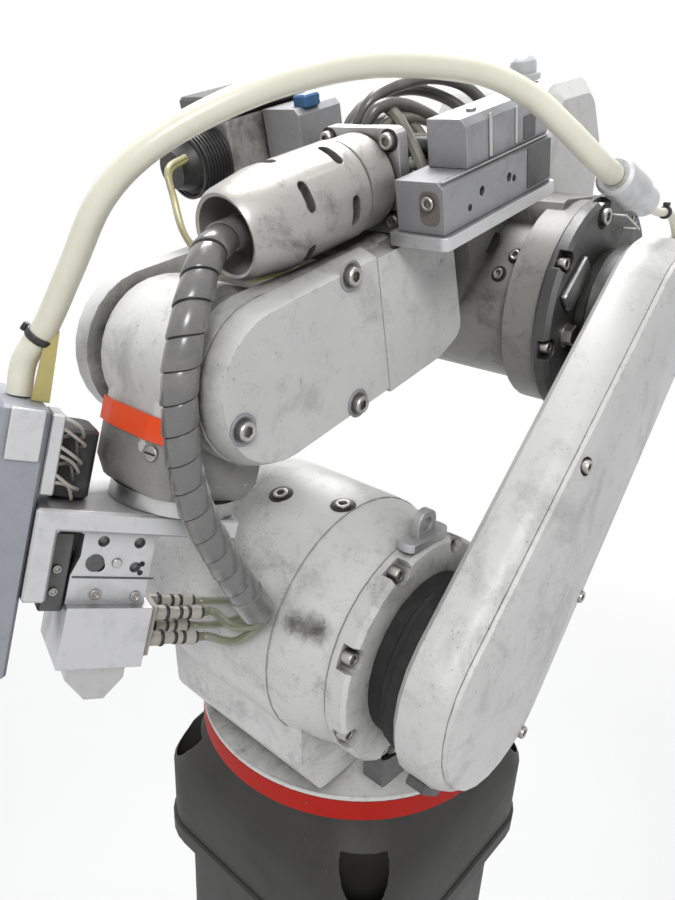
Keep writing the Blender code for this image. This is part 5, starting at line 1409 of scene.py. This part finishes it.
        # Near-black discs and slits paint the shade inside holes and gaps of the blocks.
        for x, z in ((0.1469, 0.0640), (0.0956, 0.0681)):
            disc(dark, 0.0021, 0.0003, at.place((x, side - 0.0001, z)), at.y)
        plate(dark, at, rounded_rectangle(0.0505, 0.0530, 0.1035, 0.1085, 0.0006), upper - 0.0001,
              upper + 0.0003,
              0.0001, 1)
        plate(dark, at, rounded_rectangle(0.1158, 0.1166, 0.0865, 0.1110, 0.0003), upper - 0.0001,
              upper + 0.0004,
              0.0001, 1)
        self.add(dark, "block_hole_shade", f.gap, "black_plastic")
        bright = tabs(at, ((0.1168, 0.1202, 0.0862, 0.1112), 0.0006, (upper - 0.0001, upper + 0.0008),
                           0.0003, 1),
                      ((0.0870, 0.0895, 0.0870, 0.1090), 0.0006, (upper - 0.0001, upper + 0.0005), 0.0002,
                       1),
                      ((0.0490, 0.1735, 0.0849, 0.0856), 0.0003, (side - 0.0020, side - 0.0002), 0.0001, 1))
        self.add(bright, "block_seam", f.steel)
        blank = tabs(at, ((0.0485, 0.0790, 0.0570, 0.0825), 0.0008, (side - 0.0001, side + 0.0004), 0.0002,
                          1),
                     ((0.0640, 0.0790, 0.0870, 0.1010), 0.0008, (upper - 0.0001, upper + 0.0004), 0.0002,
                      1))
        self.add(blank, "block_blank_plates", f.worn, "aluminium")
        dark_marks = tabs(at, ((0.0930, 0.1070, 0.0600, 0.0800), 0.0050,
                          (self.lower_end - 0.0001, self.lower_end + 0.0002), 0.0001, 0))
        self.add(dark_marks, "block_rusty_recess", f.rust, "aluminium")
        clip = tabs(at, ((0.1290, 0.1440, -0.0300, -0.0175), 0.0020, (0.1180, 0.1262), 0.0012, 2))
        self.add(clip, "blue_clip", f.blue, "black_plastic")
        ridge = Skin()
        for k in range(9):
            foot = at.place((0.1860 + k * 0.0028, -0.076, 0.0946))
            turned(ridge, [(0.0205, 0), (0.0222, 0.0004), (0.0222, 0.0014), (0.0205, 0.0018), (0.0205, 0)],
                   foot,
                   at.x, 40)
        self.add(ridge, "plug_ridges", f.black, "black_plastic")

    def _tubes(self) -> None:
        """Add the thin yellow and clear tubes that run from the plug down under the gland's mouth."""
        at, f = self.skeleton.roll, self.finishes
        route = ((0.2190, -0.060, 0.1020), (0.2409, -0.050, 0.1000), (0.2475, -0.042, 0.0850),
                 (0.2600, -0.022, 0.0680), (0.2560, -0.012, 0.0520), (0.2480, -0.002, 0.0420),
                 (0.2400, 0.010, 0.0385), (0.2220, 0.022, 0.0400), (0.2050, 0.026, 0.0470))
        for name, shift, material in (("yellow_tube", (0.0, 0.0, 0.0), f.yellow),
                                      ("amber_tube", (0.0022, 0.0015, 0.0045), f.amber)):
            skin = Skin()
            points = np.array(route) + np.array(shift) * np.linspace(0.3, 1.0, len(route))[:, None]
            hose(skin, smooth_line(at.place(points), 0.003), 0.0021, 12)
            self.add(skin, name, material, "olive_tube")


@dataclass
class Wrist(Assembly):
    """Round wrist with its bare lower edge, blank tape and screw."""

    body: ClassVar[str] = "wrist"
    tape: tuple = (0.0335, 0.0480, -0.0340, 0.0370)
    face: float = 0.0446
    flat_half: float = 0.018
    slope: float = 0.268

    def dress(self) -> None:
        """Paint the casting, then add the tape and the slotted screw."""
        f, at = self.finishes, self.skeleton.wrist
        self.cover(f.wrist, "wrist_casting")
        x0, x1, y0, y1 = self.tape
        tape = Skin()
        x, y = np.meshgrid(np.linspace(x0, x1, 9), np.linspace(y0, y1, 41), indexing="ij")
        drop = np.maximum(0.0, np.abs(y) - self.flat_half) * self.slope
        top = np.stack([x, y, self.face - drop + 0.0006], -1)
        under = top - np.array([0.0, 0.0, 0.0012])
        sheet = np.concatenate([under[:1], top, under[-1:]])
        sheet = np.concatenate([under[:, :1][[0, *range(9), -1]], sheet,
                                under[:, -1:][[0, *range(9), -1]]], 1)
        tape.grid(at.place(sheet), closed=False)
        self.add(tape, "wrist_tape", f.orange, "red_paint")
        skin, dark = Skin(), Skin()
        lean = seat(at, (0.0545, 0.0247, self.face - 0.0018), (0.0, self.slope, 1.0))
        disc(skin, 0.0046, 0.0016, lean.origin, lean.z)
        # A near-black bar across the head paints the shade in its slot.
        plate(dark, lean, rounded_rectangle(-0.0006, 0.0006, -0.0040, 0.0040, 0.0005), 0.0008, 0.0018,
              0.0001)
        self.add(skin, "wrist_screw", f.screw)
        self.add(dark, "wrist_screw_slot_shade", f.gap, "black_plastic")


@dataclass
class Tool(Assembly):
    """Gripper on its bracket, with the tall plate, slide, fittings and their wires."""

    body: ClassVar[str] = "tool"
    gripper_face: float = 0.019
    adapter_face: float = 0.0100
    adapter_radius: float = 0.0330
    adapter_angles: tuple = (0.35, 1.25, 2.15, 3.05, 4.2, 5.4)
    wire_radius: float = 0.0010
    tube_radius: float = 0.0026
    plate_face: float = 0.1142
    wires: int = 8
    fitting_places: tuple = ((0.0833, 0.012), (0.0833, -0.006), (0.1013, 0.012), (0.1013, -0.006))
    fitting_end: float = -0.0303
    tube_routes: tuple = (
        ((0.0833, -0.0060, -0.0310), (0.0825, -0.0040, -0.0400), (0.0760, 0.0100, -0.0500),
         (0.0690, 0.0280, -0.0560),
         (0.0660, 0.0440, -0.0560)),
        ((0.1013, -0.0060, -0.0310), (0.1005, -0.0030, -0.0400), (0.0930, 0.0100, -0.0490),
         (0.0790, 0.0280, -0.0570),
         (0.0680, 0.0450, -0.0570)))

    def dress(self) -> None:
        """Paint the nodes and add screws, holes, marks and wires."""
        f = self.finishes
        self.cover(f.aluminium, "tool_bracket", "tool_head_block", "gripper_body")
        self.cover(f.side, "tool_side_plate")
        self.cover(f.steel, "tool_adapter")
        self.paint(f.steel, "gripper_jaw_left", "gripper_jaw_right")
        self.cover(f.black, "sensor_housing")
        self.cover(f.worn, "tool_slide")
        self.cover(f.fitting, "gripper_fittings")
        self.cover(f.olive, "tool_tube_1", "tool_tube_2")
        self._gripper()
        self._wires()

    def _gripper(self) -> None:
        """Add the screws, holes, dark ring and slot mark of the gripper's upper face and side; the holes and a
        slit are near-black painted shade.
        """
        at, y, f = self.skeleton.tool, self.gripper_face, self.finishes
        skin, dark, dark_marks, bright = Skin(), Skin(), Skin(), Skin()
        turned(dark_marks, [(0.0052, 0.0), (0.0055, 0.0003), (0.0040, 0.0006), (0, 0.0003), (0, 0), (0.0052, 0)],
               at.place((0.0474, y, 0.0469)), at.y, 28)
        turned(bright, [(0.0022, 0.0), (0.0030, 0.0006), (0.0026, 0.0012), (0, 0.0010), (0, 0),
                        (0.0022, 0)],
               at.place((0.0470, y, 0.0338)), at.y, 20)
        for x, z in ((0.0686, 0.0184), (0.0674, 0.0433)):
            SocketScrew(0.0032, 0.0014, 0.0018, 0.0010).add(skin, at.place((x, y, z)), at.y)
        # Near-black discs paint the shade inside two holes.
        for x, z in ((0.0472, 0.0181), (0.0530, 0.0184)):
            disc(dark, 0.0017, 0.0005, at.place((x, y, z)), at.y)
        plate(dark_marks, at, rounded_rectangle(0.0560, 0.0572, 0.0090, 0.0590, 0.0005), y - 0.0001, y + 0.0003,
              0.0001, 1)
        # A near-black strip paints the shade in a slit.
        plate(dark, at, rounded_rectangle(0.0836, 0.0850, 0.0120, 0.0560, 0.0006), y - 0.0001, y + 0.0003,
              0.0001, 1)
        for x, z in ((0.0743, 0.0709), (0.0600, 0.0709)):
            SocketScrew(0.0026, 0.0014, 0.0014, 0.0008).add(skin, at.place((x - 0.008, 0.0180, z - 0.003)),
                                                            at.y)
        for angle in self.adapter_angles:
            across_y, across_z = self.adapter_radius * np.cos(angle), self.adapter_radius * np.sin(angle)
            foot = at.place((self.adapter_face, across_y, across_z))
            SocketScrew(0.0030, 0.0022, 0.0016, 0.0012).add(skin, foot, at.x)
        plate(bright, at, rounded_rectangle(0.1010, 0.1090, 0.0130, 0.0560, 0.0010), y - 0.0001, y + 0.0016,
              0.0003, 1)
        plate(bright, at, rounded_rectangle(0.0250, 0.0290, 0.0100, 0.0580, 0.0006), y - 0.0001, y + 0.0008,
              0.0002, 1)
        self.add(skin, "gripper_screws", f.screw)
        self.add(dark, "gripper_hole_shade", f.gap, "black_plastic")
        self.add(dark_marks, "gripper_counterbore", f.worn)
        self.add(bright, "gripper_bright_plates", f.steel)

    def _wires(self) -> None:
        """Add the thin wires from the head block to the sensor housing, the brass strip, the pad, the tubes with
        their rings and the side plate's screws.
        """
        at, f = self.skeleton.tool, self.finishes
        light, dark = Skin(), Skin()
        for k in range(self.wires):
            x, wave = -0.0370 + 0.0052 * k, np.sin(2.3 * k)
            route = ((x, 0.0215, 0.0850), (x - 0.0030, 0.0300, 0.0815 + 0.0010 * wave),
                     (x + 0.0030 * wave, 0.0315 - 0.0030 * (k % 3), 0.0730),
                     (x + 0.0070, 0.0235, 0.0680 - 0.002 * wave),
                     (x + 0.0100, 0.0165, 0.0670))
            hose((light, light, dark)[k % 3], smooth_line(at.place(route), 0.0015), self.wire_radius, 8)
        self.add(light, "sensor_wires_light", f.fitting, "cable_sheath")
        self.add(dark, "sensor_wires_dark", f.sheath, "cable_sheath")
        strip = Skin()
        outline = np.array([(-0.0440, 0.0868), (-0.0440, 0.0965), (-0.0860, 0.0944), (-0.0842, 0.0880)])
        plate(strip, at, outline, 0.0115, 0.0135, 0.0004, 1)
        self.add(strip, "hose_guard_strip", f.guard, "olive_tube")
        block = tabs(at, ((-0.0435, -0.0150, 0.0915, 0.1090), 0.0010, (0.0326, 0.0352), 0.0006, 1))
        self.add(block, "side_plate_pad", f.aluminium, "aluminium")
        marks = Skin()
        tubes, rings = Skin(), Skin()
        for route in self.tube_routes:
            hose(tubes, smooth_line(at.place(route), 0.002), self.tube_radius, 12)
        self.add(tubes, "gripper_tubes", f.olive, "olive_tube")
        for x, y in self.fitting_places:
            for low, r in ((0.0, 0.0040), (0.0090, 0.0043), (0.0150, 0.0043), (0.0245, 0.0053)):
                foot = at.place((x, y, self.fitting_end + low - 0.0022))
                collar(rings, (r - 0.0020, r + 0.0003), (0.0, 0.0022), (0.0003, 0.0005), foot, at.z, 24)
        self.add(rings, "gripper_tube_rings", f.black, "black_plastic")
        for x in (-0.034, 0.104):
            for y in (-0.024, 0.024):
                SocketScrew(0.0038, 0.0022, 0.0020, 0.0012).add(marks, at.place((x, y, self.plate_face)),
                                                                at.z)
        self.add(marks, "side_plate_screws", f.screw)


@dataclass
class Conduit(Assembly):
    """Spiral-wrapped conduit from the gland past the wrist to the gripper."""

    radii: tuple = (0.0074, 0.0092)
    pitch: float = 0.0165
    width: float = 0.0155
    thick: float = 0.0016
    route: tuple = (
        (0.169, 0.038, 0.5917), (0.179, 0.038, 0.5895), (0.1895, 0.040, 0.587), (0.2065, 0.047, 0.5805),
        (0.221, 0.055, 0.5644), (0.2314, 0.060, 0.546), (0.2362, 0.060, 0.526), (0.2376, 0.060, 0.511),
        (0.2372, 0.060, 0.488), (0.234, 0.060, 0.464), (0.2265, 0.061, 0.4364), (0.214, 0.062, 0.409),
        (0.200, 0.063, 0.383), (0.1858, 0.0632, 0.358))
    floor: float = 0.1713
    middle: int = 9
    cap_radius: float = 0.0113
    cap_height: float = 0.0075
    cap_length: float = 0.0200

    def build(self) -> None:
        """Make the bundle and its wrap in two runs that meet beside the wrist."""
        base, roll = self.skeleton.base, self.skeleton.roll
        held = [roll.place((x, 0.038, 0.0793)) for x in (self.floor + 0.0004, self.floor + 0.0413)]
        points = [*held, *base.place(self.route)]
        whole = smooth_line(points, 0.003)
        split = int(np.argmin(np.linalg.norm(whole - points[self.middle], axis=1)))
        share = split / (len(whole) - 1)
        self._run("upper", whole, slice(0, split + 1), (0.0, share), ("forearm", "wrist"),
                  ("conduit_upper", "conduit_middle"), points[5], points[self.middle - 1])
        self._run("lower", whole, slice(split, None), (share, 1.0), ("wrist", "tool"), ("conduit_lower",),
                  points[self.middle + 1], points[-2])

    def _run(self, name: str, line: Array, rows: slice, cut: tuple, bodies: tuple, nodes: tuple,
             start: Array,
             end: Array) -> None:
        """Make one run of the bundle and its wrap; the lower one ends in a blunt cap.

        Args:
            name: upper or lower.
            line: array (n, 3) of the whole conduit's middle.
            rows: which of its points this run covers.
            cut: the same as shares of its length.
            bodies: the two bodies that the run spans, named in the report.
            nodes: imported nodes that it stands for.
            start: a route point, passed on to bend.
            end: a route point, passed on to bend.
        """
        core, strip = Skin(), Skin()
        radius = np.linspace(*self.radii, len(line))
        hose(core, line, radius, 16, rows)
        ribbon(strip, line, radius + 0.0002, self.pitch, self.width, self.thick, cut)
        if name == "lower":
            ahead = (line[-1] - line[-3]) / np.linalg.norm(line[-1] - line[-3])
            t = np.linspace(0, np.pi / 2, 9)
            dome = list(zip(self.cap_radius * np.cos(t), self.cap_height * np.sin(t)))
            turned(strip, [(0.0, -self.cap_length), (self.cap_radius - 0.0006, -self.cap_length),
                           (self.cap_radius, 0.0008 - self.cap_length),
                           *dome], line[-1] - ahead * 0.002, ahead, 28)
        self.bend(core, "conduit_core_" + name, self.finishes.black, "conduit_wrap", bodies, start, end)
        outer = self.bend(strip, "conduit_wrap_" + name, self.finishes.wrap, "conduit_wrap", bodies, start,
                          end)
        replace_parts(outer, *nodes)


@dataclass
class VacuumHose(Assembly):
    """Cream hose from the tall tool plate over the arm to the coupling above the lower arm."""

    body: ClassVar[str] = "lower_arm"
    slot: ClassVar[str] = "cream_hose"
    radius: float = 0.0069
    tie_at: int = 9
    seat: tuple = (-0.0446, 0.0025, 0.1013)
    route: tuple = (
        (0.264, -0.021, 0.538), (0.254, -0.005, 0.572), (0.244, 0.010, 0.605), (0.226, 0.025, 0.629),
        (0.196, 0.044, 0.650), (0.160, 0.062, 0.666), (0.114, 0.080, 0.677), (0.060, 0.105, 0.678),
        (0.034, 0.126, 0.668), (0.018, 0.145, 0.651), (0.0005, 0.1592, 0.6347), (-0.0227, 0.161, 0.6271))
    tail: tuple = ((-0.0756, 0.165, 0.6099), (-0.0941, 0.1664, 0.6039), (-0.120, 0.1668, 0.602),
                   (-0.135, 0.1668, 0.596), (-0.1468, 0.1668, 0.586))

    def build(self) -> None:
        """Make the hose in four runs, each spanning one joint, and its thin tail with a tie."""
        base, tool = self.skeleton.base, self.skeleton.tool
        x, y, z = self.seat
        held = [tool.place((x - rise, y, z)) for rise in (0.0, 0.020)]
        points = [*held, *base.place(self.route)]
        whole = smooth_line(points, 0.004)

        def mark(k: int) -> int:
            """Number of the fine point nearest to route point k."""
            return int(np.argmin(np.linalg.norm(whole - points[k], axis=1)))

        runs = (("tool", 0, 4, ("tool", "wrist"), (1, 3), "hose_tool"),
                ("wrist", 4, 7, ("wrist", "forearm"), (4, 6), "hose_wrist"),
                ("forearm", 7, 9, ("forearm", "elbow"), (7, 9), "hose_forearm"),
                ("elbow", 9, 13, ("elbow", "lower_arm"), (9, 12), "hose_elbow"))
        for name, first, last, bodies, (start, end), node in runs:
            skin = Skin()
            hose(skin, whole, self.radius, 24, slice(mark(first), mark(last) + 1))
            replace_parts(self.bend(skin, "vacuum_hose_" + name, self.finishes.cream, self.slot, bodies,
                                  points[start],
                                  points[end]), node)
            if name == "tool":
                tie = Skin()
                self._band(tie, whole[self.tie_at], whole[self.tie_at + 1] - whole[self.tie_at - 1],
                           self.radius)
                self.bend(tie, "hose_tie", self.finishes.black, "black_plastic", bodies, points[start],
                          points[end])
        line = smooth_line(base.place(self.tail), 0.003)
        skin, tie = Skin(), Skin()
        hose(skin, line, 0.003, 12)
        self._band(tie, line[len(line) // 2], line[len(line) // 2] - line[len(line) // 2 - 1], 0.0032)
        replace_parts(self.add(skin, "vacuum_tail", self.finishes.cream), "hose_tail")
        self.add(tie, "tail_tie", self.finishes.black, "black_plastic")

    def _band(self, skin: Skin, middle: Array, axis: Array, radius: float) -> None:
        """Add a plastic tie round a hose, with its square lock.

        Args:
            skin: where the faces go.
            middle: centre of the tie.
            axis: the hose's direction there.
            radius: the hose's radius.
        """
        collar(skin, (radius - 0.001, radius + 0.0014), (-0.0020, 0.0020), (0.0004, 0.0008), middle, axis,
               28)
        u, v = across(axis)
        lock = Axes(middle + v * (radius + 0.0010), u, axis / np.linalg.norm(axis), v)
        plate(skin, lock, rounded_rectangle(-0.0020, 0.0020, -0.0024, 0.0024, 0.0005), 0.0, 0.0028, 0.0005)


# Camera, floor and light

@dataclass(frozen=True)
class Studio:
    """Camera at the photograph's angle, pale floor and soft light."""

    camera_place: Colour = (0.4557, 0.3563, 1.2328)
    yaw: float = 220.637
    pitch: float = 22.171
    roll: float = 2.747
    lens: float = 29.289
    floor_half: float = 6.0
    floor_drop: float = 0.0005
    fade: tuple = (0.55, 1.9)
    sensor: float = 36.0
    near: float = 0.02
    sky: Colour = (0.92, 0.95, 1.0)
    sky_strength: float = 0.30
    aim: Colour = (0.05, 0.0, 1.0)
    lamps: tuple = (("top_light", (-0.3, -0.5, 3.0), 1.1, 46.0), ("key_light", (1.5, 1.3, 2.5), 0.8, 32.0),
                    ("rim_light", (-1.6, -1.2, 2.0), 0.9, 24.0))

    def camera(self) -> None:
        """Make the camera. It looks along yaw and down by pitch, then turns by roll about its view."""
        yaw, pitch, roll = np.radians([self.yaw, self.pitch, self.roll])
        ahead = np.array([np.cos(yaw) * np.cos(pitch), np.sin(yaw) * np.cos(pitch), -np.sin(pitch)])
        right = np.array([np.sin(yaw), -np.cos(yaw), 0.0])
        up = np.cross(right, ahead)
        right, up = np.cos(roll) * right + np.sin(roll) * up, -np.sin(roll) * right + np.cos(roll) * up
        data = bpy.data.cameras.new("camera")
        data.lens = self.lens
        data.sensor_width = self.sensor
        data.clip_start = self.near
        obj = linked("camera", data)
        turn = Matrix((Vector(right), Vector(up), Vector(-ahead))).transposed()
        obj.matrix_world = Matrix.Translation(self.camera_place) @ turn.to_4x4()
        bpy.context.scene.camera = obj

    def floor(self) -> None:
        """Make a large pale floor that keeps the shadow near the arm and turns plain white further out."""
        skin = Skin()
        side = np.linspace(-self.floor_half, self.floor_half, 13)
        x, y = np.meshgrid(side, side, indexing="ij")
        skin.grid(np.stack([x, y, np.full_like(x, -self.floor_drop)], -1), closed=False)
        g = Graph("pale_floor")
        here = g.place()
        soft = g.noise(here, 3.0, 3.0)
        g.finish(Base_Color=g.mix(soft, (0.78, 0.78, 0.77), (0.83, 0.83, 0.82)), Roughness=0.7)
        away = g.vector("LENGTH", "Value", here)
        white = g.node("ShaderNodeEmission", {}, {"Color": WHITE, "Strength": 1.0})
        g.blend(g.seen_rays() * away.step(*self.fade), g.shader, white)
        skin.build("floor", g.material, outward=False)

    def light(self) -> None:
        """Light the arm with a large soft lamp above, a weaker one on each side and a pale world."""
        world = bpy.data.worlds.new("world")
        bpy.context.scene.world = world
        world.use_nodes = True
        g = Graph(world)
        plain = g.node("ShaderNodeBackground", {}, {"Color": self.sky, "Strength": self.sky_strength})
        seen = g.node("ShaderNodeBackground", {}, {"Color": WHITE, "Strength": 1.0})
        g.blend(g.seen_rays(), plain, seen)
        for name, place, size, power in self.lamps:
            data = bpy.data.lights.new(name, "AREA")
            data.shape, data.size, data.energy = "DISK", size, power
            obj = linked(name, data)
            obj.location = place
            aim = Vector(self.aim) - Vector(place)
            obj.rotation_euler = aim.to_track_quat("-Z", "Y").to_euler()


def main() -> None:
    """Build and dress the arm, then set the stage."""
    logging.basicConfig(level=logging.INFO, format="%(name)s: %(message)s")
    skeleton, finishes = Skeleton(), Finishes()
    for part in (Pedestal, Shoulder, LowerArm, Elbow, Forearm, DressPackage, Wrist, Tool):
        part(skeleton, finishes).dress()
    for run in (Conduit, VacuumHose):
        run(skeleton, finishes).build()
    studio = Studio()
    studio.camera()
    studio.floor()
    studio.light()
    bpy.context.scene.view_settings.view_transform = "Standard"


if __name__ == "__main__":
    main()
